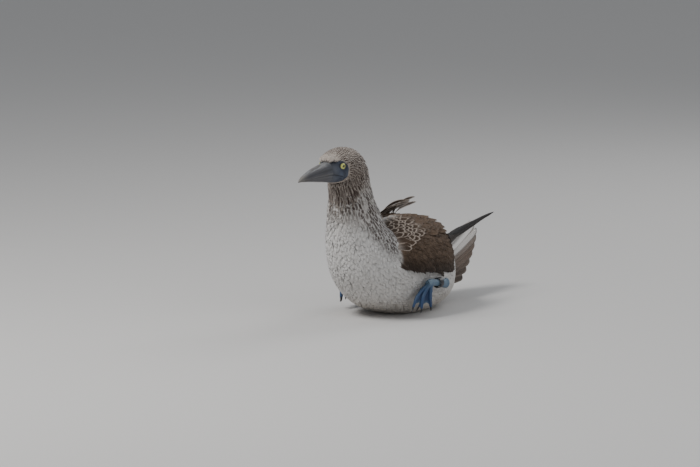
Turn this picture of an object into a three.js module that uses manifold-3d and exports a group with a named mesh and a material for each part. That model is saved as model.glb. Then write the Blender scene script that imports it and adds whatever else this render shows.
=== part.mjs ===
// A blue footed booby at life size, resting on its belly. Millimetres, +Z up, bill towards -Y.
// The origin is on the floor under the middle of the belly, and +X is the bird's left.
import * as THREE from 'three';
import Module from 'manifold-3d';
import { mergeVertices } from 'three/addons/utils/BufferGeometryUtils.js';

const wasm = await Module();
wasm.setup();

const GAP = 0.3;
const FAR = 800;

// Rows along the middle of the body, from the rump to the root of the bill:
// y, z, lean of its upward direction in degrees, half width, height above, depth below,
// and how full the upper and the lower half are, where 2 is an ellipse.
const BODY = [
  [158, 84, -20, 28, 16, 18, 2, 2.4],
  [140, 78, -14, 48, 30, 42, 2, 2.8],
  [110, 76, -8, 65, 48, 64, 2, 3.4],
  [70, 78, -4, 77, 66, 76, 2, 3.6],
  [25, 80, 0, 82, 76, 83, 2, 3.2],
  [-20, 84, 0, 83, 78, 86, 2, 2.8],
  [-66, 98, 14, 78, 72, 78, 2, 2.5],
  [-98, 122, 35, 70, 56, 68, 2, 2.2],
  [-116, 148, 60, 62, 44, 54, 2, 2],
  [-126, 172, 80, 53, 41, 49, 2, 2],
  [-132, 196, 90, 47, 41, 48, 2, 2],
  [-139, 220, 92, 40, 38, 43, 2, 2],
  [-146, 244, 88, 37, 38, 44, 2, 2],
  [-152, 262, 70, 34, 42, 36, 2, 2],
  [-162, 274, 45, 33, 38, 34, 2, 2],
  [-178, 280, 18, 31, 32, 33, 2.1, 2],
  [-196, 276, 4, 28.5, 32, 27, 2.4, 2.2],
  [-212, 274, 0, 26, 28.5, 24, 2.5, 2.4],
  [-228, 275, 0, 20.5, 21, 22, 2.4, 2.4],
];
const BODY_SIDES = 24;
const STEPS_A_ROW = 2;

// Rows of the outer surface of the folded wings, laid over the back: the same eight values.
const WING = [
  [-118, 112, 0, 60, 40, 60, 2, 2],
  [-100, 106, 0, 74.5, 58, 90, 2, 2],
  [-60, 98, 0, 88, 74, 100, 2, 2],
  [-20, 94, 0, 94, 78, 100, 2, 2],
  [30, 92, 0, 93, 76, 100, 2, 2],
  [80, 92, 0, 84, 70, 96, 2, 2],
  [120, 96, 0, 72, 60, 80, 2, 2],
  [170, 104, 0, 56, 46, 60, 2, 2],
];

// Side outline of a folded wing, as y and z.
const WING_FRONT = [[-96, 128], [-99, 112], [-95, 92]];
const WING_LOWER = [[-60, 82], [0, 73], [40, 66], [72, 61]];
const WING_REAR = [[78, 66], [84, 100], [88, 128], [90, 143]];
const WING_UPPER = [[70, 147], [20, 151], [-40, 150], [-84, 140]];

// Cuts between the torso, neck and head: y, z and lean of each cutting plane.
const NECK_CUT = { y: -122, z: 160, lean: 72 };
const HEAD_CUT = { y: -149, z: 252, lean: 80 };

const EYE = { x: 17, y: -203, z: 281, radius: 8, turn: 20 };
const FACE_DEPTH = 4.4;
// The last rows of the bare face, which narrow to the bill.
const FACE_FRONT = [
  [-212, 271, 0, 24, 27, 21, 2.4, 2.2],
  [-228, 270, 0, 17.2, 23, 20, 2.2, 2.2],
];

// Rows along the bill: y, top, mouth line, bottom, half width.
const BILL = [
  [-203, 291, 268, 251, 15],
  [-225, 289, 267.5, 254, 13.2],
  [-250, 285.5, 267, 257, 11],
  [-275, 280.5, 266.5, 260, 8.4],
  [-295, 274.5, 265.6, 262, 5.8],
  [-307, 269.5, 264.6, 263, 3.4],
  [-314, 264.8, 263.6, 262.8, 0.9],
];
const BILL_ROOT = -222;
// The forehead reaches out over the root of the bill, this far and above this height.
const FOREHEAD = { y: -228, z: 291.8 };

// Rows along the folded left hand with its long feathers: y, x, z, half thickness, half height.
const HAND = [
  [80, 67, 123, 6, 12],
  [120, 60, 127, 6, 10],
  [160, 54, 131, 4.4, 7],
  [210, 47, 136, 3.4, 5],
  [260, 40, 141, 2.4, 3.4],
  [314, 34, 145, 1, 1.4],
];
const HAND_LEAN = 24;
const HAND_CORE = 0.3;
const PRIMARIES = { count: 6, half: 5.6, step: 0.075, rise: 1.1, stack: 1.3 };
// The right hand lies lower and further out at its tip.
const RIGHT_HAND_SHIFT = { x: 26, y: -22, z: -44 };

const TAIL = {
  root: 118, rootZ: 60, tip: 287, tipZ: 131, halfRoot: 26, halfWide: 48, outerTip: 172, droop: 0.66,
  feathers: 6, half: 10, stack: 1.2,
};

const HEEL = { x: 89, y: 37, z: 53 };
const TOE_ROOT = { x: 91, y: -22, z: 61 };
// The right leg is drawn up further back than the left.
const RIGHT_LEG_BACK = 34;
const TARSUS = { half: 5, height: 6.6 };
const RING = { x: 90, y: 8, z: 57, radius: 8.2, thick: 1, long: 10 };

const colours = {
  white: 0xe9e4da,
  streaked: 0x8b7a68,
  brown: 0x5a4636,
  dark: 0x2e2724,
  blue: 0x5f9fc4,
  bill: 0x7d8f98,
  iris: 0xd8d58a,
  metal: 0x3a3d42,
};

function material(colour, roughness, metalness = 0) {
  return new THREE.MeshStandardMaterial({ color: colour, roughness, metalness });
}

const white = material(colours.white, 0.85);
const streaked = material(colours.streaked, 0.85);
const brown = material(colours.brown, 0.8);
const dark = material(colours.dark, 0.7);
const blueSkin = material(colours.blue, 0.5);
const horn = material(colours.bill, 0.45);
const eyeGloss = material(colours.iris, 0.1);
const ringMetal = material(colours.metal, 0.4, 1);

const radians = (degrees) => (degrees * Math.PI) / 180;
const mix = (a, b, t) => a + (b - a) * t;

// A closed three.js geometry, moved by a matrix, as a solid.
function solidOf(geometry, matrix) {
  const bare = geometry.clone();
  bare.deleteAttribute('normal');
  bare.deleteAttribute('uv');
  if (matrix) bare.applyMatrix4(matrix);
  const merged = mergeVertices(bare, 1e-4);
  const vertProperties = new Float32Array(merged.attributes.position.array);
  const triVerts = new Uint32Array(merged.index.array);
  return new wasm.Manifold(new wasm.Mesh({ numProp: 3, vertProperties, triVerts }));
}

// Six times the volume inside a triangle mesh, positive when its faces point out.
function signedVolume(points, faces) {
  let sum = 0;
  for (let i = 0; i < faces.length; i += 3) {
    const [a, b, c] = [points[faces[i]], points[faces[i + 1]], points[faces[i + 2]]];
    sum += a.dot(b.clone().cross(c));
  }
  return sum;
}

// A skin through rings of points, closed at both ends by fans about the middles of the end rings.
// The second half of each ring is split the other way, so that a ring that is its own mirror image stays so.
function loft(rings) {
  const sides = rings[0].length;
  const points = rings.flat();
  const faces = [];
  for (let r = 0; r + 1 < rings.length; r++) {
    for (let s = 0; s < sides; s++) {
      const a = r * sides + s;
      const b = r * sides + ((s + 1) % sides);
      if (s < sides / 2) faces.push(a, b, b + sides, a, b + sides, a + sides);
      else faces.push(a, b, a + sides, b, b + sides, a + sides);
    }
  }
  for (const [row, flip] of [[0, true], [rings.length - 1, false]]) {
    const middle = new THREE.Vector3();
    rings[row].forEach((p) => middle.addScaledVector(p, 1 / sides));
    const centre = points.push(middle) - 1;
    for (let s = 0; s < sides; s++) {
      const a = row * sides + s;
      const b = row * sides + ((s + 1) % sides);
      faces.push(centre, flip ? b : a, flip ? a : b);
    }
  }
  if (signedVolume(points, faces) < 0) {
    for (let i = 0; i < faces.length; i += 3) [faces[i], faces[i + 1]] = [faces[i + 1], faces[i]];
  }
  const geometry = new THREE.BufferGeometry();
  const flat = points.flatMap((p) => [p.x, p.y, p.z]);
  geometry.setAttribute('position', new THREE.Float32BufferAttribute(flat, 3));
  geometry.setIndex(faces);
  return solidOf(geometry);
}

// A row of values at a place along a list of rows, on a Catmull-Rom curve through them.
function rowAt(rows, place) {
  const i = Math.min(Math.floor(place), rows.length - 2);
  const t = place - i;
  const pick = (k) => rows[Math.min(Math.max(k, 0), rows.length - 1)];
  const [p, q, r, s] = [pick(i - 1), pick(i), pick(i + 1), pick(i + 2)];
  return q.map((value, k) => {
    const slopeA = (r[k] - p[k]) / 2;
    const slopeB = (s[k] - value) / 2;
    const t2 = t * t;
    const t3 = t2 * t;
    return (2 * t3 - 3 * t2 + 1) * value + (t3 - 2 * t2 + t) * slopeA
      + (3 * t2 - 2 * t3) * r[k] + (t3 - t2) * slopeB;
  });
}

// A point of a body row: the angle runs from 0 at the top, through +X, to pi underneath.
function rowPoint(row, angle, grow) {
  const [y, z, lean, half, above, below, fullAbove, fullBelow] = row;
  const c = Math.cos(angle);
  const s = Math.sin(angle);
  const power = 2 / (c < 0 ? fullBelow : fullAbove);
  const side = Math.sign(s) * Math.abs(s) ** power * (half + grow);
  const up = Math.sign(c) * Math.abs(c) ** power * ((c < 0 ? below : above) + grow);
  const tilt = radians(lean);
  return new THREE.Vector3(side, y + up * Math.sin(tilt), z + up * Math.cos(tilt));
}

function rowsLoft(rows, sides, steps, grow = 0) {
  const rings = [];
  for (let k = 0; k <= (rows.length - 1) * steps; k++) {
    const row = rowAt(rows, k / steps);
    rings.push(Array.from({ length: sides }, (_, s) => rowPoint(row, (2 * Math.PI * s) / sides, grow)));
  }
  for (const [end, next] of [[rings[0], rings[1]], [rings.at(-1), rings.at(-2)]]) {
    const out = end[0].clone().sub(next[0]).setX(0).normalize().multiplyScalar(grow);
    end.forEach((point) => point.add(out));
  }
  return loft(rings);
}

// A side outline of y and z points, extruded from x0 to x1.
function slab(outline, x0, x1) {
  const shape = new THREE.Shape(outline.map(([y, z]) => new THREE.Vector2(y, z)));
  const geometry = new THREE.ExtrudeGeometry(shape, { depth: x1 - x0, bevelEnabled: false });
  const axes = new THREE.Matrix4().makeBasis(
    new THREE.Vector3(0, 1, 0), new THREE.Vector3(0, 0, 1), new THREE.Vector3(1, 0, 0));
  return solidOf(geometry, axes.setPosition(x0, 0, 0));
}

// An outline with each point moved outwards by a distance, along the mean normal of its two edges.
function widened(outline, by) {
  const points = outline.map(([y, z]) => new THREE.Vector2(y, z));
  const turn = THREE.ShapeUtils.isClockWise(points) ? -1 : 1;
  return points.map((point, i) => {
    const before = point.clone().sub(points.at(i - 1)).normalize();
    const after = points[(i + 1) % points.length].clone().sub(point).normalize();
    const along = before.add(after).normalize();
    return [point.x + turn * along.y * by, point.y - turn * along.x * by];
  });
}

// Everything on the tail side of a leaning plane, moved by a shift along its normal.
function behind(cut, shift = 0) {
  const matrix = new THREE.Matrix4()
    .makeTranslation(0, cut.y, cut.z)
    .multiply(new THREE.Matrix4().makeRotationX(-radians(cut.lean)))
    .multiply(new THREE.Matrix4().makeTranslation(0, FAR / 2 + shift, 0));
  return solidOf(new THREE.BoxGeometry(FAR, FAR, FAR), matrix);
}

const floorSpace = solidOf(
  new THREE.BoxGeometry(FAR, FAR, FAR), new THREE.Matrix4().makeTranslation(0, 0, FAR / 2));

function largest(solid) {
  const size = (piece) => Math.abs(piece.volume());
  return solid.decompose().sort((a, b) => size(b) - size(a))[0];
}

function mirrored(solid) {
  const mesh = solid.getMesh();
  const vertProperties = Float32Array.from(mesh.vertProperties, (v, i) => (i % 3 === 0 ? -v : v));
  const turned = (_, i) => mesh.triVerts[i - (i % 3) + ((3 - (i % 3)) % 3)];
  const triVerts = Uint32Array.from(mesh.triVerts, turned);
  return new wasm.Manifold(new wasm.Mesh({ numProp: 3, vertProperties, triVerts }));
}

function shifted(solid, back) {
  const mesh = solid.getMesh();
  const vertProperties = Float32Array.from(mesh.vertProperties, (v, i) => (i % 3 === 1 ? v + back : v));
  return new wasm.Manifold(new wasm.Mesh({ numProp: 3, vertProperties, triVerts: mesh.triVerts }));
}

const bird = new THREE.Group();

function addNode(name, solid, look) {
  const mesh = largest(solid).getMesh();
  const geometry = new THREE.BufferGeometry();
  geometry.setAttribute('position', new THREE.Float32BufferAttribute(mesh.vertProperties, 3));
  geometry.setIndex(Array.from(mesh.triVerts));
  geometry.computeVertexNormals();
  const node = new THREE.Mesh(geometry, look);
  node.name = name;
  bird.add(node);
}

function addPair(name, solid, look) {
  addNode(`${name}_left`, solid, look);
  addNode(`${name}_right`, mirrored(solid), look);
}

const bodySolid = rowsLoft(BODY, BODY_SIDES, STEPS_A_ROW);
const bodyGrown = rowsLoft(BODY, BODY_SIDES, STEPS_A_ROW, GAP + 0.1);

// The eyeball's centre, and the direction that it looks in.
const eyeCentre = new THREE.Vector3(EYE.x, EYE.y, EYE.z);
const eyeTurn = radians(EYE.turn);
const eyeAxis = new THREE.Vector3(Math.cos(eyeTurn), -Math.sin(eyeTurn), 0.04).normalize();

function ball(centre, radius, wide = 12, high = 8) {
  return solidOf(new THREE.SphereGeometry(radius, wide, high),
    new THREE.Matrix4().makeTranslation(centre.x, centre.y, centre.z));
}

// The ring of lids round the eye, standing proud of the face.
function lidRing() {
  const turn = new THREE.Quaternion().setFromUnitVectors(new THREE.Vector3(0, 0, 1), eyeAxis);
  const place = eyeCentre.clone().addScaledVector(eyeAxis, 5);
  const matrix = new THREE.Matrix4().compose(place, turn, new THREE.Vector3(1, 0.94, 1.2));
  return solidOf(new THREE.TorusGeometry(6.6, 1.5, 5, 12), matrix);
}

// Bare skin in front of and round the eye, and the line of the mouth on it.
const FACE_OUTLINE = [
  [-240, 236], [-240, 292.3], [-213, 292], [-203, 289.5], [-194, 283.5], [-191.5, 276],
  [-192, 268.5], [-188.5, 261], [-195, 253.5], [-213, 250.5], [-224, 246],
];
const GAPE = [
  [-240, 266.7], [-220, 266.6], [-206, 263.2], [-199, 260.4], [-206, 264.2], [-220, 267.8], [-240, 267.9],
];

function headSolid() {
  const rows = [...BODY.slice(0, -FACE_FRONT.length), ...FACE_FRONT];
  const skin = rowsLoft(rows, BODY_SIDES, STEPS_A_ROW, -FACE_DEPTH);
  const deepest = rowsLoft(rows, BODY_SIDES, STEPS_A_ROW, -FACE_DEPTH - 1.2);
  const feathered = bodySolid.subtract(slab(FACE_OUTLINE, -FAR, FAR));
  const front = slab([
    [-FAR, 0], [BILL_ROOT, 0], [BILL_ROOT, FOREHEAD.z],
    [FOREHEAD.y, FOREHEAD.z], [FOREHEAD.y, FAR], [-FAR, FAR],
  ], -FAR, FAR);
  let head = skin.add(feathered).subtract(behind(HEAD_CUT)).subtract(front);
  head = head.subtract(slab(GAPE, -FAR, FAR).subtract(deepest));
  for (const lid of [lidRing(), mirrored(lidRing())]) head = head.add(lid);
  const left = ball(eyeCentre, EYE.radius + GAP);
  return head.subtract(left).subtract(mirrored(left));
}

// Half of the bill, upper or lower, as rings from its root to its tip.
function billHalf(upper) {
  const rings = [];
  for (let k = 0; k <= (BILL.length - 1) * 2; k++) {
    const [y, top, mouth, bottom, half] = rowAt(BILL, k / 2);
    const edge = upper ? mouth : mouth - GAP;
    const rise = upper ? top - edge : edge - bottom;
    const ring = [];
    for (let s = 0; s <= 8; s++) {
      const angle = (Math.PI * s) / 8;
      const shoulder = Math.abs(Math.cos(angle)) ** 0.85;
      const x = Math.sign(Math.cos(angle)) * shoulder * half * (upper ? 1 : 0.97);
      const z = edge + (upper ? 1 : -1) * Math.sin(angle) ** 0.8 * rise;
      ring.push(new THREE.Vector3(x, y, z));
    }
    ring.push(new THREE.Vector3(0, y, edge));
    rings.push(ring);
  }
  const rear = [[BILL_ROOT - GAP, 0], [FAR, 0], [FAR, FAR], [BILL_ROOT - GAP, FAR]];
  return loft(rings).subtract(slab(rear, -FAR, FAR));
}

const wingOutline = [...WING_FRONT, ...WING_LOWER, ...WING_REAR, ...WING_UPPER];

function wingSpace(grow) {
  return rowsLoft(WING, BODY_SIDES, STEPS_A_ROW, grow).intersect(slab(widened(wingOutline, grow), 20, FAR));
}

// Everything above the line that the lower edges of the wing's feathers keep to.
function aboveWingEdge(drop) {
  const [first, last] = [WING_LOWER[0], WING_LOWER.at(-1)];
  const line = [[first[0] - 60, first[1] + 16], ...WING_LOWER, [last[0] + 40, last[1] - 5]];
  return slab([...line.map(([y, z]) => [y, z - 1 - drop]), [FAR, FAR], [-FAR, FAR]], -FAR, FAR);
}

function wingSolid() {
  let wing = wingSpace(0);
  for (const feather of wingFeathers()) wing = wing.add(feather);
  return wing.intersect(aboveWingEdge(0)).subtract(bodyGrown).subtract(scapularRoom);
}

// The space that a wing and its feathers need.
const FEATHER_RISE = 3.2;

function wingRoom() {
  return rowsLoft(WING, BODY_SIDES, STEPS_A_ROW, FEATHER_RISE).intersect(aboveWingEdge(GAP + 0.1));
}

// Over the shoulders and back: what lies above the wings' upper edges.
const SCAPULAR_LIFT = 5;
const MIDLINE = 7;

function scapularSpace(grow) {
  const lower = WING_UPPER.map(([y, z]) => [y, z + GAP + 0.1]);
  const [rearY, rearZ] = WING_REAR.at(-1);
  const upper = [[-92, 132], [-98, 140], [-92, FAR], [120, FAR], [112, 150]];
  const outline = [[rearY + 6, rearZ + GAP], ...lower, ...upper];
  return rowsLoft(WING, BODY_SIDES, STEPS_A_ROW, SCAPULAR_LIFT + grow)
    .intersect(slab(widened(outline, grow), MIDLINE - grow, FAR));
}

const scapularRoom = scapularSpace(GAP + 0.1);

function scapularSolid() {
  let scapulars = scapularSpace(0);
  for (const feather of scapularFeathers()) scapulars = scapulars.add(feather);
  const left = slab([[-FAR, -FAR], [FAR, -FAR], [FAR, FAR], [-FAR, FAR]], MIDLINE, FAR);
  const overWing = rowsLoft(WING, BODY_SIDES, STEPS_A_ROW, FEATHER_RISE)
    .intersect(slab(wingOutline, 20, FAR));
  return scapulars.intersect(left).subtract(bodyGrown).subtract(overWing);
}

// The middle line of a folded hand at a share of its length, with its outward and upward directions.
function handAt(share, shift) {
  const [y, x, z, thick, high] = rowAt(HAND, share * (HAND.length - 1));
  const ease = share ** 1.2;
  const lean = radians(HAND_LEAN);
  return {
    at: new THREE.Vector3(x + shift.x * ease, y + shift.y * ease, z + shift.z * ease),
    out: new THREE.Vector3(Math.cos(lean), 0, Math.sin(lean)),
    up: new THREE.Vector3(-Math.sin(lean), 0, Math.cos(lean)),
    thick,
    high,
  };
}

// The thin space at the rear edge of a wing that its last tier of feathers fills.
const secondaryRoom = rowsLoft(WING, BODY_SIDES, STEPS_A_ROW, 2)
  .subtract(rowsLoft(WING, BODY_SIDES, STEPS_A_ROW, -3.2))
  .intersect(slab([[-FAR, -FAR], [103, -FAR], [103, FAR], [-FAR, FAR]], -FAR, FAR));

// The folded hand: a tapered core, and its long dark feathers stacked outwards with their tips stepped.
function handSolid(shift) {
  const rings = [];
  for (let k = 0; k <= 5; k++) {
    const { at, out, up, thick, high } = handAt((k / 5) * HAND_CORE, shift);
    const taper = 1 - 0.55 * (k / 5);
    rings.push(Array.from({ length: 10 }, (_, s) => {
      const angle = (2 * Math.PI * s) / 10;
      return at.clone().addScaledVector(out, Math.cos(angle) * thick * taper)
        .addScaledVector(up, Math.sin(angle) * high * taper);
    }));
  }
  let hand = loft(rings);
  for (let i = 0; i < PRIMARIES.count; i++) {
    const reach = 1 - PRIMARIES.step * i;
    hand = hand.add(vane(FLIGHT_SHAPE.map(([share, width]) => {
      const { at, out, up } = handAt(mix(0.12, reach, share), shift);
      const rise = PRIMARIES.rise * (i - 1) * (1 - 0.5 * share);
      at.addScaledVector(up, rise).addScaledVector(out, PRIMARIES.stack * (i - 2));
      return { at, out, side: up, half: PRIMARIES.half * width };
    }), 0.7, true));
  }
  const rear = widened(wingOutline, GAP + 0.1);
  return hand.subtract(slab([[-FAR, -FAR], [80, -FAR], [80, FAR], [-FAR, FAR]], -FAR, FAR))
    .subtract(bodyGrown).subtract(slab(rear, 20, FAR)).subtract(scapularRoom).subtract(secondaryRoom);
}

// A place on the arched tail: x across it, y back.
function tailPoint(x, y) {
  const slope = (TAIL.tipZ - TAIL.rootZ) / (TAIL.tip - TAIL.root);
  return new THREE.Vector3(x, y, TAIL.rootZ + slope * (y - TAIL.root) - TAIL.droop * Math.abs(x));
}

// The left half of the tail: a wedge of coverts at the root, and feathers that get shorter outwards.
function tailHalf() {
  const rings = [];
  for (const [y, half, thick] of [[TAIL.root, 32, 10], [150, 46, 9], [188, 40, 3.4]]) {
    const corners = [[0.2, -thick * 0.6], [half, -thick * 0.6], [half, thick * 0.5], [0.2, thick * 0.5]];
    rings.push(corners.map(([x, up]) => tailPoint(x, y).setZ(tailPoint(x, y).z + up)));
  }
  let tail = loft(rings);
  for (let i = 0; i < TAIL.feathers; i++) {
    const share = i / (TAIL.feathers - 1);
    const tip = tailPoint(mix(5.4, TAIL.halfWide, share ** 0.75), mix(TAIL.tip, TAIL.outerTip, share ** 1.3));
    const root = tailPoint(mix(5.4, TAIL.halfRoot, share), TAIL.root + 8);
    const along = tip.clone().sub(root).normalize();
    const side = new THREE.Vector3(1, 0, -TAIL.droop).normalize();
    const out = side.clone().cross(along).normalize();
    tail = tail.add(vane(FLIGHT_SHAPE.map(([place, width]) => ({
      at: root.clone().lerp(tip, place).addScaledVector(out, -TAIL.stack * i),
      side: out.clone().cross(along).normalize().negate(),
      out,
      half: (5 + TAIL.half * 0.5 * place + TAIL.half * 0.3) * width,
    })), 0.7, true));
  }
  const left = slab([[0, -FAR], [FAR, -FAR], [FAR, FAR], [0, FAR]], GAP / 2, FAR);
  return tail.intersect(left).subtract(bodyGrown);
}

// A tube along points with its own radii, with flat ends.
function tube(points, radii, sides, flatten = 1) {
  const path = new THREE.CatmullRomCurve3(points);
  const count = points.length * 2 - 1;
  const rings = [];
  for (let k = 0; k < count; k++) {
    const t = k / (count - 1);
    const at = path.getPoint(t);
    const along = path.getTangent(t);
    const across = new THREE.Vector3(0, 0, 1).cross(along).normalize();
    const up = along.clone().cross(across).normalize();
    const radius = rowAt(radii.map((r) => [r]), t * (radii.length - 1))[0];
    rings.push(Array.from({ length: sides }, (_, s) => {
      const angle = (2 * Math.PI * s) / sides;
      return at.clone()
        .addScaledVector(across, Math.cos(angle) * radius)
        .addScaledVector(up, Math.sin(angle) * radius * flatten);
    }));
  }
  return loft(rings);
}

const heel = new THREE.Vector3(HEEL.x, HEEL.y, HEEL.z);
const toeRoot = new THREE.Vector3(TOE_ROOT.x, TOE_ROOT.y, TOE_ROOT.z);

// Everything behind an upright plane across the leg.
function behindLine(y) {
  return behind({ y, z: 0, lean: 0 });
}

function tarsusSolid(grow = 0) {
  const points = [
    toeRoot.clone().add(new THREE.Vector3(0, -10, -2)), toeRoot, toeRoot.clone().lerp(heel, 0.5),
    heel.clone().add(new THREE.Vector3(0, -8, 0)), heel, heel.clone().add(new THREE.Vector3(0, 7, 0)),
  ];
  const radii = [5.2, 5, 4.6, 6, 6.8, 2.5].map((radius) => radius + grow);
  return tube(points, radii, 10, TARSUS.height / TARSUS.half)
    .intersect(behindLine(TOE_ROOT.y));
}

// Toes as tip and middle point, from the inner hind toe to the outer front toe.
const TOES = [
  { tip: [80, -44, 20], bend: [88, -36, 40], radius: 3 },
  { tip: [84, -70, 23], bend: [88, -62, 52], radius: 3.4 },
  { tip: [92, -55, 20], bend: [93, -56, 50], radius: 4 },
  { tip: [97.5, -32, 20], bend: [98, -40, 46], radius: 3.8 },
];

function toeCurve(toe) {
  const root = toeRoot.clone().add(new THREE.Vector3(0, 4, 0));
  return new THREE.QuadraticBezierCurve3(root, new THREE.Vector3(...toe.bend), new THREE.Vector3(...toe.tip));
}

// A curved web between two toes, with the same triangles on both faces.
function web(toeA, toeB) {
  const [a, b] = [toeCurve(toeA), toeCurve(toeB)];
  const columns = 4;
  const lines = 3;
  const thick = 1.3;
  const rings = [];
  for (let i = 0; i < columns; i++) {
    const top = [];
    const bottom = [];
    for (let j = 0; j < lines; j++) {
      const s = j / (lines - 1);
      const reach = 0.95 - 0.16 * Math.sin(Math.PI * s);
      const t = mix(0.05, reach, i / (columns - 1));
      const p = a.getPoint(t).lerp(b.getPoint(t), s);
      p.z -= 3 * Math.sin(Math.PI * s) * t;
      p.z = Math.max(p.z, thick);
      top.push(p.clone().setZ(p.z + thick / 2));
      bottom.unshift(p.clone().setZ(p.z - thick / 2));
    }
    rings.push([...top, ...bottom]);
  }
  return webLoft(rings, lines);
}

// A plate through rings whose first half is its top and whose second half, turned round, is its underside.
function webLoft(rings, lines) {
  const points = rings.flat();
  const around = lines * 2;
  const faces = [];
  const top = (i, j) => i * around + j;
  const low = (i, j) => i * around + around - 1 - j;
  const quad = (a, b, c, d) => faces.push(a, b, c, a, c, d);
  for (let i = 0; i + 1 < rings.length; i++) {
    for (let j = 0; j + 1 < lines; j++) {
      quad(top(i, j), top(i, j + 1), top(i + 1, j + 1), top(i + 1, j));
      faces.push(low(i, j), low(i + 1, j + 1), low(i, j + 1), low(i, j), low(i + 1, j), low(i + 1, j + 1));
    }
    quad(top(i, 0), top(i + 1, 0), low(i + 1, 0), low(i, 0));
    quad(top(i, lines - 1), low(i, lines - 1), low(i + 1, lines - 1), top(i + 1, lines - 1));
  }
  const end = rings.length - 1;
  for (let j = 0; j + 1 < lines; j++) {
    quad(top(0, j), low(0, j), low(0, j + 1), top(0, j + 1));
    quad(top(end, j), top(end, j + 1), low(end, j + 1), low(end, j));
  }
  if (signedVolume(points, faces) < 0) {
    for (let i = 0; i < faces.length; i += 3) [faces[i], faces[i + 1]] = [faces[i + 1], faces[i]];
  }
  const geometry = new THREE.BufferGeometry();
  const flat = points.flatMap((p) => [p.x, p.y, p.z]);
  geometry.setAttribute('position', new THREE.Float32BufferAttribute(flat, 3));
  geometry.setIndex(faces);
  return solidOf(geometry);
}

// A feather from its root to its tip. Each station gives its middle, side, outward direction and half width.
// A ridged vane is thickest along its shaft, and a plain one is a flat tile.
function vane(stations, thick, ridged) {
  const rings = stations.map(({ at, side, out, half }) => {
    const put = (across, up) => at.clone()
      .addScaledVector(side, across * half).addScaledVector(out, up);
    if (!ridged) return [put(-1, thick), put(1, thick), put(1, 0), put(-1, 0)];
    return [put(-1, thick), put(0, thick * 1.7), put(1, thick), put(1, 0), put(0, 0), put(-1, 0)];
  });
  return webLoft(rings, ridged ? 3 : 2);
}

// How wide a feather is along its length, as shares of its half width.
const COVERT_SHAPE = [[0, 0.7], [0.55, 1], [0.86, 0.85], [1, 0.35]];
const FLIGHT_SHAPE = [[0, 0.7], [0.4, 1], [0.85, 0.75], [1, 0.12]];

function placeOf(rows, y) {
  let [low, high] = [0, rows.length - 1];
  for (let i = 0; i < 24; i++) {
    const middle = (low + high) / 2;
    if (rowAt(rows, middle)[0] < y) low = middle;
    else high = middle;
  }
  return low;
}

// A point on the wings' outer surface at y and an angle from the top, with its outward direction.
function wingPoint(y, angle) {
  const at = (yy, a) => rowPoint(rowAt(WING, placeOf(WING, yy)), a, 0);
  const point = at(y, angle);
  const along = at(y + 2, angle).sub(at(y - 2, angle));
  const around = at(y, angle + 0.02).sub(at(y, angle - 0.02));
  return { point, out: around.cross(along).normalize() };
}

// A feather lying on the wings' surface, from y and angle towards the tail, rising from rootLift to tipLift.
function lyingFeather({ y, angle, length, half, slant, rootLift, tipLift, shape, thick, ridged }) {
  const around = Math.sin(slant) * length / 92;
  const places = shape.map(([share, width]) => {
    const { point, out } = wingPoint(y + length * Math.cos(slant) * share, angle + around * share);
    return { at: point.addScaledVector(out, mix(rootLift, tipLift, share)), out, half: half * width };
  });
  return vane(places.map((place, i) => {
    const [before, after] = [places[Math.max(i - 1, 0)], places[Math.min(i + 1, places.length - 1)]];
    const along = after.at.clone().sub(before.at).normalize();
    return { ...place, side: place.out.clone().cross(along).normalize() };
  }), thick, ridged);
}

let seed = 7;
// A seeded draw between -1 and 1.
function draw() {
  seed = (seed * 1103515245 + 12345) % 2147483648;
  return (seed / 1073741824) - 1;
}

// Tiers of coverts down the outside of a folded wing: y, how many, first and last angle, length.
const COVERT_TIERS = [
  { y: -88, count: 3, first: 63, last: 89, length: 40 },
  { y: -52, count: 4, first: 61, last: 98, length: 46 },
  { y: -10, count: 5, first: 62, last: 104, length: 52 },
];
const SECONDARIES = { y: 36, count: 6, first: 59, last: 109, length: 57 };
// Feathers lie this much closer than their width.
const LAP = 1.16;

// One tier of feathers side by side over the wings' surface.
function tier({ y, count, first, last, length }, lift, slant, stagger, thick) {
  const spacing = (radians(last - first) / (count - 1)) * 92;
  return Array.from({ length: count }, (_, i) => lyingFeather({
    y: y + 2 * draw(),
    angle: radians(mix(first, last, (i + stagger) / (count - 1))),
    length: length + 2 * draw(),
    half: (spacing / 2) * LAP,
    slant: slant + 0.03 * draw(),
    rootLift: lift[0] - thick,
    tipLift: lift[1] - thick + 0.4 * draw(),
    shape: COVERT_SHAPE,
    thick,
    ridged: false,
  }));
}

function wingFeathers() {
  const coverts = COVERT_TIERS.flatMap((row, k) => tier(row, [-0.5, 2.1], 0.14, k % 2 ? -0.3 : 0, 3.4));
  return [...coverts, ...tier(SECONDARIES, [-0.8, 0.6], 0.08, 0, 1.4)];
}

const SCAPULAR_TIERS = [
  { y: -84, count: 2, first: 16, last: 36, length: 42 },
  { y: -50, count: 3, first: 13, last: 42, length: 48 },
  { y: -12, count: 3, first: 15, last: 44, length: 56 },
  { y: 32, count: 4, first: 12, last: 46, length: 84 },
];

function scapularFeathers() {
  const lift = [SCAPULAR_LIFT - 0.6, SCAPULAR_LIFT + 2.4];
  return SCAPULAR_TIERS.flatMap((row, k) => tier(row, lift, 0.07, k % 2 ? 0.3 : 0, k < 3 ? 3 : 2));
}

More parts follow.
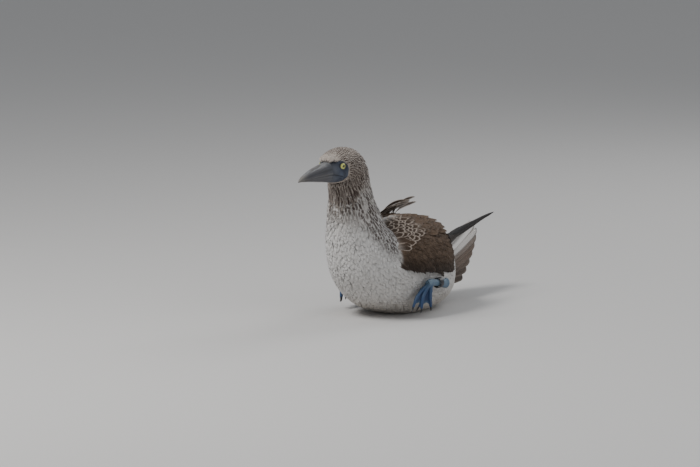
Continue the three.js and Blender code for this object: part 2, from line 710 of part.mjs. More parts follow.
function footSolid() {
  const joint = toeRoot.clone().add(new THREE.Vector3(0, -3, 0));
  let foot = ball(joint, 7.5, 8, 5);
  for (const toe of TOES) {
    const curve = toeCurve(toe);
    const points = [0, 0.45, 1].map((t) => curve.getPoint(t));
    foot = foot.add(tube(points, [toe.radius * 1.25, toe.radius * 0.95, toe.radius * 0.72], 6));
  }
  for (let i = 0; i + 1 < TOES.length; i++) foot = foot.add(web(TOES[i], TOES[i + 1]));
  for (const toe of TOES) foot = foot.subtract(claw(toe, GAP + 0.2));
  return foot.intersect(floorSpace).subtract(behindLine(TOE_ROOT.y - GAP));
}

// A claw that carries on from a toe's tip and bends forwards.
function claw(toe, grow = 0) {
  const curve = toeCurve(toe);
  const along = curve.getTangent(1);
  const points = [-1.5 - grow, 3.5, 8].map((way) => curve.getPoint(1).addScaledVector(along, way));
  points[2].y -= 2.4;
  const radii = [toe.radius * 0.4, toe.radius * 0.34, 0.5].map((radius) => radius + grow);
  return tube(points, radii, 6);
}

const thighPoints = [[60, -4, 77], [81, 22, 67], [88.5, 36, 56]].map((p) => new THREE.Vector3(...p));

function thighSolid() {
  return tube(thighPoints, [24, 14, 8.4], 12)
    .subtract(tarsusSolid(GAP))
    .subtract(ringDent());
}

// A plain flat ring, loose on the left tarsus, and the dent that it makes in the flank.
const ringPlace = new THREE.Matrix4().makeTranslation(RING.x, RING.y, RING.z);

function ringSolid() {
  const [inner, outer, half] = [RING.radius, RING.radius + RING.thick, RING.long / 2];
  const profile = [[inner, -half], [outer, -half], [outer, half], [inner, half], [inner, -half]];
  return solidOf(new THREE.LatheGeometry(profile.map(([r, h]) => new THREE.Vector2(r, h)), 20), ringPlace);
}

function ringDent() {
  return solidOf(new THREE.CylinderGeometry(RING.radius + RING.thick + 0.6, RING.radius + RING.thick + 0.6,
    RING.long + 1.2, 20), ringPlace);
}

const torso = bodySolid.intersect(behind(NECK_CUT)).intersect(floorSpace).subtract(ringDent());
const neck = bodySolid.subtract(behind(NECK_CUT, -GAP)).intersect(behind(HEAD_CUT, GAP));

addNode('torso', torso, white);
addNode('neck', neck, streaked);
addNode('head', headSolid(), streaked);
addNode('bill_upper', billHalf(true), horn);
addNode('bill_lower', billHalf(false), horn);
addPair('eye', ball(eyeCentre, EYE.radius), eyeGloss);
addPair('wing', wingSolid(), brown);
addPair('scapulars', scapularSolid(), brown);
addNode('hand_left', handSolid({ x: 0, y: 0, z: 0 }), dark);
addNode('hand_right', mirrored(handSolid(RIGHT_HAND_SHIFT)), dark);
addPair('tail', tailHalf(), dark);
for (const [side, turn, back] of [['left', (solid) => solid, 0], ['right', mirrored, RIGHT_LEG_BACK]]) {
  const place = (solid) => turn(shifted(solid, back));
  addNode(`thigh_${side}`, place(thighSolid()).subtract(bodyGrown).subtract(wingRoom()), white);
  addNode(`tarsus_${side}`, place(tarsusSolid()).subtract(bodyGrown), blueSkin);
  addNode(`foot_${side}`, place(footSolid()).subtract(bodyGrown), blueSkin);
  TOES.forEach((toe, i) => addNode(`claw_${i + 1}_${side}`, place(claw(toe)), dark));
}
addNode('leg_ring', ringSolid(), ringMetal);

export default bird;
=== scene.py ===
"""A blue footed booby at life size, resting on its belly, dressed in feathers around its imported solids.

Shapes are worked out in millimetres in the part's frame and put into meshes in metres.
"""
import math

import bpy
import numpy as np
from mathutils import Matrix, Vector


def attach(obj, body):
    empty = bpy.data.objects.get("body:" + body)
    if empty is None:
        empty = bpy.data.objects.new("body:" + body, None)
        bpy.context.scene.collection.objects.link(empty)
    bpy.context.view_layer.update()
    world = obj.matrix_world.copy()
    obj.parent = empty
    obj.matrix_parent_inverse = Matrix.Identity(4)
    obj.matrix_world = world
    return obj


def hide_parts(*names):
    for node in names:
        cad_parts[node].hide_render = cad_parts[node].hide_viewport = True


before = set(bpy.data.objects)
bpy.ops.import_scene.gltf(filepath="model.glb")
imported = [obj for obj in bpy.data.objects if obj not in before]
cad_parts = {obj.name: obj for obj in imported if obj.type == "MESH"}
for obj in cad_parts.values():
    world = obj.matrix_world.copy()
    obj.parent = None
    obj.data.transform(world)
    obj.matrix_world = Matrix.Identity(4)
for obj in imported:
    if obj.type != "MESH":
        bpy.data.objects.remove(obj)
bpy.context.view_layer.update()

MM = 0.001
SIDES = {"left": 1.0, "right": -1.0}
FLOOR = 0.5

# Rows along the body from the rump to the root of the bill: y, z, lean in degrees, half width,
# height above, depth below, and how full the upper and lower half are, where 2 is an ellipse.
BODY = np.array([
    [158, 84, -20, 28, 16, 18, 2, 2.4],
    [140, 78, -14, 48, 30, 42, 2, 2.8],
    [110, 76, -8, 65, 48, 64, 2, 3.4],
    [70, 78, -4, 77, 66, 76, 2, 3.6],
    [25, 80, 0, 82, 76, 83, 2, 3.2],
    [-20, 84, 0, 83, 78, 86, 2, 2.8],
    [-66, 98, 14, 78, 72, 78, 2, 2.5],
    [-98, 122, 35, 70, 56, 68, 2, 2.2],
    [-116, 148, 60, 62, 44, 54, 2, 2],
    [-126, 172, 80, 53, 41, 49, 2, 2],
    [-132, 196, 90, 47, 41, 48, 2, 2],
    [-139, 220, 92, 40, 38, 43, 2, 2],
    [-146, 244, 88, 37, 38, 44, 2, 2],
    [-152, 262, 70, 34, 42, 36, 2, 2],
    [-162, 274, 45, 33, 38, 34, 2, 2],
    [-178, 280, 18, 31, 32, 33, 2.1, 2],
    [-196, 276, 4, 28.5, 32, 27, 2.4, 2.2],
    [-212, 274, 0, 26, 28.5, 24, 2.5, 2.4],
    [-228, 275, 0, 20.5, 21, 22, 2.4, 2.4],
], float)
# Rows of the outer surface of the folded wings: the same eight values.
WING = np.array([
    [-118, 112, 0, 60, 40, 60, 2, 2],
    [-100, 106, 0, 74.5, 58, 90, 2, 2],
    [-60, 98, 0, 88, 74, 100, 2, 2],
    [-20, 94, 0, 94, 78, 100, 2, 2],
    [30, 92, 0, 93, 76, 100, 2, 2],
    [80, 92, 0, 84, 70, 96, 2, 2],
    [120, 96, 0, 72, 60, 80, 2, 2],
    [170, 104, 0, 56, 46, 60, 2, 2],
], float)
HEAD_END = len(BODY) - 1.0

# The folded wing's edges as y and z.
WING_LOWER = np.array([[-97, 91], [-60, 82], [0, 73], [40, 66], [72, 61], [84, 63]], float)
WING_UPPER = np.array([[-97, 128], [-84, 140], [-40, 150], [20, 151], [70, 147], [92, 143]], float)

# Rows along the bill: y, top, mouth line, bottom, half width.
BILL = np.array([
    [-203, 291, 268, 251, 15],
    [-225, 289, 267.5, 254, 13.2],
    [-250, 285.5, 267, 257, 11],
    [-275, 280.5, 266.5, 260, 8.4],
    [-295, 274.5, 265.6, 262, 5.8],
    [-307, 269.5, 264.6, 263, 3.4],
    [-314, 264.8, 263.6, 262.8, 0.9],
], float)
BILL_GAP = 0.3

# Bare skin of the face and the line of the mouth on it, as y and z.
FACE = np.array([
    [-240, 236], [-240, 292.3], [-213, 292], [-203, 289.5], [-194, 283.5], [-191.5, 276],
    [-192, 268.5], [-188.5, 261], [-195, 253.5], [-213, 250.5], [-224, 246],
], float)
GAPE = np.array([[-240, 267.2], [-220, 267.2], [-206, 263.7], [-199, 260.4]], float)
FACE_DEPTH = 4.4
# The skin of the face ends here, on the root of the bill.
BILL_ROOT = -222.3
SKIN_END = 17.65

EYE = {"x": 17.0, "y": -203.0, "z": 281.0, "radius": 8.0, "turn": 20.0, "rise": 0.04}
IRIS = 5.7
PUPIL = 2.1

# Rows along the folded left hand: y, x, z, half thickness, half height.
HAND = np.array([
    [80, 67, 123, 6, 12],
    [120, 60, 127, 6, 10],
    [160, 54, 131, 4.4, 7],
    [210, 47, 136, 3.4, 5],
    [260, 40, 141, 2.4, 3.4],
    [314, 34, 145, 1, 1.4],
], float)
HAND_LEAN = 24.0
RIGHT_HAND_SHIFT = np.array([26.0, -22.0, -44.0])
TAIL = {"root": 118.0, "root_z": 60.0, "tip": 287.0, "tip_z": 131.0, "half_first": 5.0, "half_root": 26.0,
        "half_wide": 48.0, "outer_tip": 172.0, "droop": 0.66}

HEEL = np.array([89.0, 37.0, 53.0])
TOE_ROOT = np.array([91.0, -22.0, 61.0])
RIGHT_LEG_BACK = 34.0
RING = {"x": 90.0, "y": 8.0, "z": 57.0, "radius": 8.2, "thick": 1.0, "long": 10.0}
TOES = [
    {"tip": (80, -44, 20), "bend": (88, -36, 40), "radius": 3.0},
    {"tip": (84, -70, 23), "bend": (88, -62, 52), "radius": 3.4},
    {"tip": (92, -55, 20), "bend": (93, -56, 50), "radius": 4.0},
    {"tip": (97.5, -32, 20), "bend": (98, -40, 46), "radius": 3.8},
]

WHITE = np.array([0.72, 0.70, 0.68])
# A greyer white that the body's feathers turn to towards the bottom.
LOWER_BODY_GREY = np.array([0.50, 0.44, 0.375])
BEIGE = np.array([0.56, 0.49, 0.43])
TAN = np.array([0.36, 0.28, 0.215])
STREAK = np.array([0.045, 0.028, 0.022])
CHEEK = np.array([0.22, 0.165, 0.13])
BROWN = np.array([0.140, 0.090, 0.056])
DEEP_BROWN = np.array([0.032, 0.020, 0.014])
FRINGE = np.array([0.46, 0.385, 0.325])
BLACK = np.array([0.010, 0.008, 0.009])
TAIL_BROWN = np.array([0.115, 0.082, 0.062])
SLATE = np.array([0.062, 0.078, 0.115])
SLATE_DARK = np.array([0.028, 0.035, 0.056])
HORN_GREY = np.array([0.088, 0.093, 0.108])
# A painted highlight along the top of the bill.
HORN_RIDGE_HIGHLIGHT = np.array([0.21, 0.215, 0.22])
HORN_LINE = np.array([0.060, 0.044, 0.036])
HORN_LIP = np.array([0.20, 0.20, 0.195])
# Painted shade in the bill's groove.
HORN_GROOVE_SHADE = np.array([0.030, 0.032, 0.038])
HORN_TIP = np.array([0.22, 0.205, 0.18])
HORN_INSIDE = np.array([0.03, 0.03, 0.035])
IRIS_YELLOW = np.array([0.46, 0.47, 0.075])
IRIS_PALE = np.array([0.62, 0.63, 0.20])
IRIS_RIM = np.array([0.17, 0.18, 0.045])
PUPIL_BLACK = np.array([0.004, 0.004, 0.005])
EYE_EDGE = np.array([0.010, 0.011, 0.014])
# A pale blue that paints light on the legs: the tarsus's top and front, and the toes' roots.
LEG_LIT_BLUE = np.array([0.155, 0.225, 0.29])
LEG_BLUE = np.array([0.055, 0.115, 0.19])
# The feet's blue darkened as painted shade, for the webs and the toes' undersides.
WEB_SHADE_BLUE = np.array([0.013, 0.032, 0.090])
CLAW_DARK = np.array([0.03, 0.031, 0.034])
RING_DARK = (0.012, 0.013, 0.018)
RING_SCUFFED = (0.06, 0.063, 0.072)
FLOOR_PAINT = (0.62, 0.61, 0.60)
STUDIO_PAINT = (0.93, 0.96, 1.0)


def smooth(low, high, value):
    """An S curve: 0 up to low, 1 from high on, 3t^2 - 2t^3 between them."""
    t = np.clip((value - low) / (high - low), 0, 1)
    return t * t * (3 - 2 * t)


def mix(a, b, share):
    """a where the share is 0 and b where it is 1, colour by colour when share is a mask."""
    share = np.asarray(share, float)
    if np.ndim(a) and np.shape(a)[-1:] == (3,):
        share = share[..., None]
    return a + (b - a) * share


def unit(vectors):
    """Each vector divided by its own length."""
    return vectors / np.maximum(np.linalg.norm(vectors, axis=-1, keepdims=True), 1e-9)


def rows_at(rows, place):
    """Values at a place along rows, on a Catmull-Rom curve through them, straight on past both ends."""
    place = np.asarray(place, float)
    last = len(rows) - 1
    i = np.clip(np.floor(place), 0, last - 1).astype(int)
    t = (place - i)[..., None]
    inner = np.clip(t, 0, 1)
    before, start, end, after = (rows[np.clip(i + k, 0, last)] for k in (-1, 0, 1, 2))
    slope_a = (end - before) / 2
    slope_b = (after - start) / 2
    t2 = inner * inner
    t3 = t2 * inner
    value = (2 * t3 - 3 * t2 + 1) * start + (t3 - 2 * t2 + inner) * slope_a
    value = value + (3 * t2 - 2 * t3) * end + (t3 - t2) * slope_b
    return value + np.minimum(t, 0) * slope_a + np.maximum(t - 1, 0) * slope_b


def surface(rows, place, angle, grow=0.0):
    """A point of a row's section: the side is sin^(2/fullness) of the angle times the half width, the rise is
    cos^(2/fullness) times the height, laid in the row's leaning plane, all grown outwards by a distance."""
    row = rows_at(rows, place)
    y, z, lean, half, above, below, full_above, full_below = (row[..., k] for k in range(8))
    c = np.cos(angle)
    s = np.sin(angle)
    power = 2 / np.where(c < 0, full_below, full_above)
    side = np.sign(s) * np.abs(s) ** power * np.maximum(half + grow, 0.2)
    up = np.sign(c) * np.abs(c) ** power * np.maximum(np.where(c < 0, below, above) + grow, 0.2)
    tilt = np.radians(lean)
    return np.stack([side, y + up * np.sin(tilt), z + up * np.cos(tilt)], -1)


def place_of(rows, y):
    """The place along rows whose y is given, by looking it up in a fine table."""
    places = np.linspace(0, len(rows) - 1, 2000)
    ys = rows_at(rows, places)[:, 0]
    order = np.argsort(ys)
    return np.interp(y, ys[order], places[order])


def segment_distance(start, end, y, z):
    """Distance from the straight line between two points of y and z."""
    run_y, run_z = end - start
    off_y = y - start[0]
    off_z = z - start[1]
    share = np.clip((off_y * run_y + off_z * run_z) / (run_y ** 2 + run_z ** 2), 0, 1)
    return np.hypot(off_y - share * run_y, off_z - share * run_z)


def polygon_distance(polygon, y, z):
    """Distance from the outline of a polygon of y and z, negative inside it."""
    nearest = np.full(np.shape(y), 1e9)
    inside = np.zeros(np.shape(y), bool)
    for start, end in zip(polygon, np.roll(polygon, -1, 0)):
        nearest = np.minimum(nearest, segment_distance(start, end, y, z))
        crosses = (start[1] > z) != (end[1] > z)
        crossing_y = (end[0] - start[0]) * (z - start[1]) / (end[1] - start[1] + 1e-12) + start[0]
        inside ^= crosses & (y < crossing_y)
    return np.where(inside, -nearest, nearest)


def line_distance(line, y, z):
    """Distance from an open line of y and z."""
    nearest = np.full(np.shape(y), 1e9)
    for start, end in zip(line[:-1], line[1:]):
        nearest = np.minimum(nearest, segment_distance(start, end, y, z))
    return nearest


def make_mesh(name, points, faces, material, tint=None, uvs=None):
    """A mesh piece from points in millimetres and lists of faces, riding on the body, with its colour and its
    UV maps by vertex. A fourth value beside the colour is how strongly the material's markings show."""
    mesh = bpy.data.meshes.new(name)
    mesh.from_pydata(np.asarray(points, float) * MM, [], faces)
    mesh.validate()
    corners = np.zeros(len(mesh.loops), int)
    mesh.loops.foreach_get("vertex_index", corners)
    for uv_name, uv in (uvs or {}).items():
        layer = mesh.uv_layers.new(name=uv_name)
        layer.data.foreach_set("uv", uv[corners].astype(np.float32).ravel())
    if tint is not None:
        layer = mesh.color_attributes.new(name="tint", type="FLOAT_COLOR", domain="POINT")
        mark = tint[:, 3:] if tint.shape[1] == 4 else np.zeros((len(tint), 1))
        rgba = np.concatenate([np.clip(tint[:, :3], 0.003, 1), mark], 1)
        layer.data.foreach_set("color", rgba.astype(np.float32).ravel())
    mesh.polygons.foreach_set("use_smooth", np.ones(len(mesh.polygons), bool))
    mesh.materials.append(material)
    mesh.update()
    piece = bpy.data.objects.new(name, mesh)
    bpy.context.scene.collection.objects.link(piece)
    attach(piece, "root")
    return piece


def tube_faces(rings, sides):
    """Faces of a tube of rings closed by fans to two middle points put after the rings' points."""
    r, s = np.meshgrid(np.arange(rings - 1), np.arange(sides), indexing="ij")
    a = (r * sides + s).ravel()
    b = (r * sides + (s + 1) % sides).ravel()
    quads = np.stack([a, b, b + sides, a + sides], 1)
    s = np.arange(sides)
    near = np.stack([np.full(sides, rings * sides), (s + 1) % sides, s], 1)
    end = (rings - 1) * sides
    far = np.stack([np.full(sides, rings * sides + 1), end + s, end + (s + 1) % sides], 1)
    return quads.tolist() + near.tolist() + far.tolist()


def outward(points, faces):
    """The faces turned round when the volume that they hold comes out negative."""
    tris = np.array([[f[0], f[1], f[2]] for f in faces] + [[f[0], f[2], f[3]] for f in faces if len(f) == 4])
    a, b, c = (points[tris[:, k]] for k in range(3))
    if np.sum(a * np.cross(b, c)) < 0:
        return [f[::-1] for f in faces]
    return faces


def ring_piece(name, rings, material, tint=None, uvs=None):
    """A closed piece through rings of points."""
    count, sides = rings.shape[:2]
    points = np.concatenate([rings.reshape(-1, 3), rings[:1].mean(1), rings[-1:].mean(1)])
    if tint is not None:
        tint = np.concatenate([tint.reshape(-1, 3), tint[:1].mean(1), tint[-1:].mean(1)])
    if uvs is not None:
        uvs = {k: np.concatenate([v.reshape(-1, 2), v[:1].mean(1), v[-1:].mean(1)]) for k, v in uvs.items()}
    faces = outward(points, tube_faces(count, sides))
    return make_mesh(name, points, faces, material, tint, uvs)


def hoop_piece(name, rings, material, tint=None):
    """A piece through rings of points whose last ring is joined to the first, like a hoop."""
    count, sides = rings.shape[:2]
    r, s = np.meshgrid(np.arange(count), np.arange(sides), indexing="ij")
    next_r = (r + 1) % count
    next_s = (s + 1) % sides
    corners = [r * sides + s, r * sides + next_s, next_r * sides + next_s, next_r * sides + s]
    faces = np.stack(corners, -1).reshape(-1, 4).tolist()
    points = rings.reshape(-1, 3)
    if tint is not None:
        tint = tint.reshape(-1, 3)
    return make_mesh(name, points, outward(points - points.mean(0), faces), material, tint)


def lens_template(stations, columns):
    """Faces of one feather: an upper grid of stations by columns and a lower grid that shares its rim, the
    lower grid's inner points being numbered after the upper grid's."""
    upper = np.arange(stations * columns).reshape(stations, columns)
    lower = upper.copy()
    inner = (stations - 2) * (columns - 2)
    lower[1:-1, 1:-1] = stations * columns + np.arange(inner).reshape(stations - 2, columns - 2)
    faces = []
    for grid, flip in ((upper, False), (lower, True)):
        a, b, c, d = grid[:-1, :-1], grid[:-1, 1:], grid[1:, 1:], grid[1:, :-1]
        quad = np.stack([a, b, c, d] if not flip else [d, c, b, a], -1)
        faces.append(quad.reshape(-1, 4))
    return np.concatenate(faces)


def feather_piece(name, upper, lower, tint, patch, vane, material, flip):
    """Many feathers joined in one piece. Upper and lower are grids of points for each feather, of which the
    lower one gives only its inner points. The patch is the bake map, and the vane map runs over each
    feather."""
    count, stations, columns = upper.shape[:3]
    template = lens_template(stations, columns)

    def joined(top, low):
        width = top.shape[-1]
        inner = low[:, 1:-1, 1:-1].reshape(count, -1, width)
        return np.concatenate([top.reshape(count, -1, width), inner], 1).reshape(-1, width)

    each = stations * columns + (stations - 2) * (columns - 2)
    flips = np.broadcast_to(flip, count)
    turned = np.where(flips[:, None, None], template[:, ::-1][None], template[None])
    faces = (turned + (np.arange(count) * each)[:, None, None]).reshape(-1, 4)
    uvs = {"OFBake": joined(patch, patch), "Vane": joined(vane, vane)}
    return make_mesh(name, joined(upper, lower), faces, material, joined(tint, tint), uvs)


# A small feather's outline: powers of its root and its round end, and its least widths as shares.
PADDLE = {"root": 0.45, "round": 6.0, "tip": 0.3, "quill": 0.18}
# The least millimetres that a row and a radian of a surface are taken for, close to its poles.
LEAST_ROW = 4.0
LEAST_RADIAN = 10.0


def width_at(along):
    """A feather's width as a share of its widest: along^root times the square root of 1 - along^round."""
    width = along ** PADDLE["root"] * np.sqrt(np.maximum(1 - along ** PADDLE["round"], 0))
    return np.maximum(width, PADDLE["tip"] * smooth(0, 0.3, along) + PADDLE["quill"])


def lay_feathers(rows, way, roots, stations, columns, thick, crown, ease):
    """Feathers as lifted patches of a surface. Each one starts at its root's place and angle and runs along
    the rows, turned by its slant. It rises from its low to its high distance off the surface as one less
    (1 - along)^ease, its edges sink with the square of how far across they are, its tip's columns end at
    uneven lengths, and its inner points are pushed apart to the feather's thickness."""
    place, angle = roots["place"], roots["angle"]
    step = 0.02
    lengthwise = surface(rows, place + step, angle) - surface(rows, place - step, angle)
    sideways = surface(rows, place, angle + step) - surface(rows, place, angle - step)
    speed_place = np.maximum(np.linalg.norm(lengthwise, axis=-1) / (2 * step), LEAST_ROW)[:, None, None]
    speed_angle = np.maximum(np.linalg.norm(sideways, axis=-1) / (2 * step), LEAST_RADIAN)[:, None, None]
    t = 1 - (1 - np.linspace(0, 1, stations)) ** 1.5
    u = np.linspace(-1, 1, columns)
    u = np.sign(u) * (1 - (1 - np.abs(u)) ** 2.8)
    along = np.broadcast_to(t[None, :, None], (len(place), stations, columns))
    across = np.broadcast_to(u[None, None, :], along.shape)
    ragged = roots["ragged"][:, None, :] * smooth(0.6, 1, along)
    length = roots["length"][:, None, None] * (along + ragged * (0.10 + 0.06 * np.abs(across)))
    length = length - roots["length"][:, None, None] * 0.12 * across ** 2 * smooth(0.5, 1, along)
    side = roots["half"][:, None, None] * across * width_at(along)
    slant = roots["slant"][:, None, None]
    forward = length * np.cos(slant) - side * np.sin(slant)
    around = length * np.sin(slant) + side * np.cos(slant)
    turn = np.where(angle < 0, -1.0, 1.0)[:, None, None]
    at_place = place[:, None, None] + way * forward / speed_place
    at_angle = angle[:, None, None] + turn * around / speed_angle
    low = roots["low"][:, None, None]
    high = roots["high"][:, None, None]
    rise = low + (high - low) * (1 - (1 - along) ** ease)
    rise = rise + roots["curl"][:, None, None] * smooth(0.5, 1, along)
    rise = rise - crown * roots["half"][:, None, None] * across ** 2 * smooth(0, 0.4, along)
    shaft = 1 + 0.5 * np.exp(-(across / 0.16) ** 2)
    full = thick * shaft * (1 - along ** 4) * (1 - across ** 2)
    upper = surface(rows, at_place, at_angle, rise + full / 2)
    lower = surface(rows, at_place, at_angle, rise - full / 2)
    return upper, lower, along, across, turn[:, 0, 0]


def draws(rng, count, columns):
    """Each feather's own chances: a tone, the luck that thins out the streaks, and its tip's lengths."""
    return {
        "tone": rng.uniform(-1, 1, count),
        "luck": rng.uniform(0, 1, count),
        "ragged": rng.uniform(-1, 1, (count, columns)),
    }


PATCH = 0.003
PATCH_MARGIN = 0.01


def bake_patch(first, second, along, across):
    """The bake map: a small patch at the root's place on the unwrap, which is given as two shares."""
    spot = np.stack([first, second], -1)[:, None, None, :]
    spread = np.stack([across * PATCH / 2, (along - 0.5) * PATCH], -1)
    return PATCH_MARGIN + (1 - 2 * PATCH_MARGIN) * np.clip(spot, 0, 1) + spread


def vane_map(along, across):
    """The map over one feather: how far across it in u and how far along it in v."""
    return np.stack([across / 2 + 0.5, along], -1)


def grid_map(stations, columns):
    """A map that spreads a piece made of a single grid over nearly all of the unwrap."""
    first = np.linspace(0.02, 0.98, stations)
    second = np.linspace(0.02, 0.98, columns)
    return np.stack(np.meshgrid(first, second, indexing="ij"), -1)[None]


def over_feather(values, along):
    """One value for each feather, repeated over its whole grid."""
    return np.broadcast_to(values[:, None, None], along.shape)


# Plumage colours


def streak_edge(angle):
    """How low the neck's streaks reach, in z: to the shoulders at the back and less far in front."""
    return mix(132.0, 198.0, smooth(1.6, 2.6, np.abs(angle)))


def body_tint(points, place, angle, along, tone):
    """Ground colours of the feathers of head, neck and body: white turning greyer towards the bottom of the
    body, beige on the head, and a little darker at each feather's root as painted shade.
    """
    y, z = points[..., 1], points[..., 2]
    # The white turns greyer towards the bottom of the body.
    white = mix(WHITE, LOWER_BODY_GREY, 0.65 * (1 - smooth(8, 58, z)) + 0.16 * (1 - smooth(60, 120, z)))
    head = smooth(11.6, 13.4, place)
    colour = mix(white, BEIGE, 0.35 * smooth(8.6, 11.0, place) + 0.65 * head)
    cheek = np.exp(-(((y + 174) / 15) ** 2 + ((z - 268) / 18) ** 2)) * smooth(0.7, 1.1, np.abs(angle))
    colour = mix(colour, CHEEK, 0.45 * cheek)
    chin = smooth(14.6, 16.2, place) * (1 - smooth(250, 262, z))
    colour = mix(colour, TAN, 0.45 * chin)
    # Each feather is a little darker towards its root: painted shade where the feathers above cover it.
    return colour * (1 + 0.04 * tone - 0.05 * (1 - along))[..., None]


def streak_strength(points, place, angle, luck):
    """How dark the stripe of each feather of head and neck is: full down to the streaks' lower edge, weak on
    the brow and chin, and missing on one feather in six of the neck."""
    z = points[..., 2]
    head = smooth(11.6, 13.4, place)
    brow = smooth(16.6, 17.8, place) * (z > 286)
    chin = smooth(14.6, 16.2, place) * (1 - smooth(250, 262, z))
    edge = streak_edge(angle)
    strength = smooth(edge - 30, edge + 16, z) * (1 - 0.7 * brow) * (1 - 0.8 * chin)
    strength = strength * mix(1.0, 0.2, smooth(0.80, 0.86, luck) * (1 - head))
    return np.clip(strength * (0.75 + 0.3 * luck), 0, 1)


def shading_skin(points, place, angle):
    """Colours of the skin under the coat: the coat's own, with its stripes evened out, made a little darker
    as painted shade in the gaps between the feathers.
    """
    y, z = points[..., 1], points[..., 2]
    still = np.zeros(place.shape)
    streaks = streak_strength(points, place, angle, still + 0.5)
    # The factor 0.94 is painted shade on the skin seen between the feathers.
    colour = mix(body_tint(points, place, angle, still + 1, still), STREAK, 0.4 * streaks) * 0.94
    face = 1 - smooth(-0.8, 0.6, polygon_distance(FACE, y, z))
    around_eye = np.hypot(y - EYE["y"], z - EYE["z"])
    waves_y = np.sin(0.42 * y + 1.7 * np.sin(0.31 * z))
    waves_z = np.sin(0.53 * z + 1.3 * np.sin(0.37 * y))
    patches = 0.5 + 0.25 * waves_y + 0.25 * waves_z
    bare = mix(np.broadcast_to(SLATE_DARK, colour.shape), SLATE * 1.15, patches)
    bare = mix(bare, SLATE_DARK * 0.8, 0.8 * (1 - smooth(7, 12, around_eye)))
    bare = mix(bare, HORN_GREY, 0.85 * smooth(-207, -222, y))
    bare = mix(bare, SLATE_DARK * 0.35, np.exp(-(line_distance(GAPE, y, z) / 0.8) ** 2) * 0.9)
    return mix(colour, bare, face)


# Node groups and materials


def new_group(name, inputs, outputs):
    """An empty shader node group with named sockets: inputs have a default value, outputs have a kind."""
    group = bpy.data.node_groups.new(name, "ShaderNodeTree")
    for label, value in inputs.items():
        socket = group.interface.new_socket(name=label, in_out="INPUT", socket_type="NodeSocketFloat")
        socket.default_value = value
    for label, kind in outputs.items():
        group.interface.new_socket(name=label, in_out="OUTPUT", socket_type=kind)
    return group


def node(tree, kind, **settings):
    """A node with its settings, and its inputs by name in values."""
    made = tree.nodes.new(kind)
    for key, value in settings.pop("values", {}).items():
        made.inputs[key].default_value = value
    for key, value in settings.items():
        setattr(made, key, value)
    return made


def math_node(tree, operation, first, second=None):
    """A maths node on two values or sockets."""
    made = tree.nodes.new("ShaderNodeMath")
    made.operation = operation
    for k, value in enumerate((first, second)):
        if value is None:
            continue
        if isinstance(value, (int, float)):
            made.inputs[k].default_value = value
        else:
            tree.links.new(value, made.inputs[k])
    return made.outputs[0]


def barb_group():
    """Fine barbs slanting off a feather's shaft: a sine of how far along the vane is plus how far it is
    from the shaft, broken up by noise, with a raised line along the shaft itself."""
    tree = new_group("barbs", {"Count": 60.0, "Slant": 0.6},
                     {"Height": "NodeSocketFloat", "Mask": "NodeSocketFloat"})
    given = tree.nodes.new("NodeGroupInput")
    out = tree.nodes.new("NodeGroupOutput")
    uv = node(tree, "ShaderNodeUVMap", uv_map="Vane")
    split = tree.nodes.new("ShaderNodeSeparateXYZ")
    tree.links.new(uv.outputs[0], split.inputs[0])
    off = math_node(tree, "ABSOLUTE", math_node(tree, "SUBTRACT", split.outputs[0], 0.5))
    sweep = math_node(tree, "MULTIPLY", off, given.outputs["Slant"])
    line = math_node(tree, "SUBTRACT", split.outputs[1], sweep)
    noise = node(tree, "ShaderNodeTexNoise", values={"Scale": 420.0, "Detail": 2.0})
    place = tree.nodes.new("ShaderNodeTexCoord")
    tree.links.new(place.outputs["Object"], noise.inputs["Vector"])
    wobble = math_node(tree, "MULTIPLY", noise.outputs["Fac"], 0.05)
    phase = math_node(tree, "MULTIPLY", math_node(tree, "ADD", line, wobble), given.outputs["Count"])
    wave = math_node(tree, "SINE", math_node(tree, "MULTIPLY", phase, 6.283))
    level = math_node(tree, "MULTIPLY_ADD", wave, 0.5)
    level.node.inputs[2].default_value = 0.5
    shaft = math_node(tree, "LESS_THAN", off, 0.03)
    height = math_node(tree, "MAXIMUM", math_node(tree, "MULTIPLY", level, 0.6), shaft)
    tree.links.new(height, out.inputs["Height"])
    tree.links.new(level, out.inputs["Mask"])
    return tree


def mottle_group():
    """Soft uneven patches on Object coordinates: two noises, a coarse and a fine one, averaged."""
    tree = new_group("mottle", {"Coarse": 60.0, "Fine": 500.0}, {"Value": "NodeSocketFloat"})
    given = tree.nodes.new("NodeGroupInput")
    out = tree.nodes.new("NodeGroupOutput")
    place = tree.nodes.new("ShaderNodeTexCoord")
    parts = []
    for label in ("Coarse", "Fine"):
        noise = node(tree, "ShaderNodeTexNoise", values={"Detail": 4.0, "Roughness": 0.6})
        tree.links.new(place.outputs["Object"], noise.inputs["Vector"])
        tree.links.new(given.outputs[label], noise.inputs["Scale"])
        parts.append(noise.outputs["Fac"])
    tree.links.new(math_node(tree, "MULTIPLY", math_node(tree, "ADD", *parts), 0.5), out.inputs["Value"])
    return tree


def smooth_step(tree, value, low, high):
    """A smooth step of a value: 0 up to low and 1 from high on."""
    made = node(tree, "ShaderNodeMapRange", interpolation_type="SMOOTHSTEP",
                values={"From Min": low, "From Max": high, "To Min": 0.0, "To Max": 1.0})
    tree.links.new(value, made.inputs["Value"])
    return made.outputs["Result"]


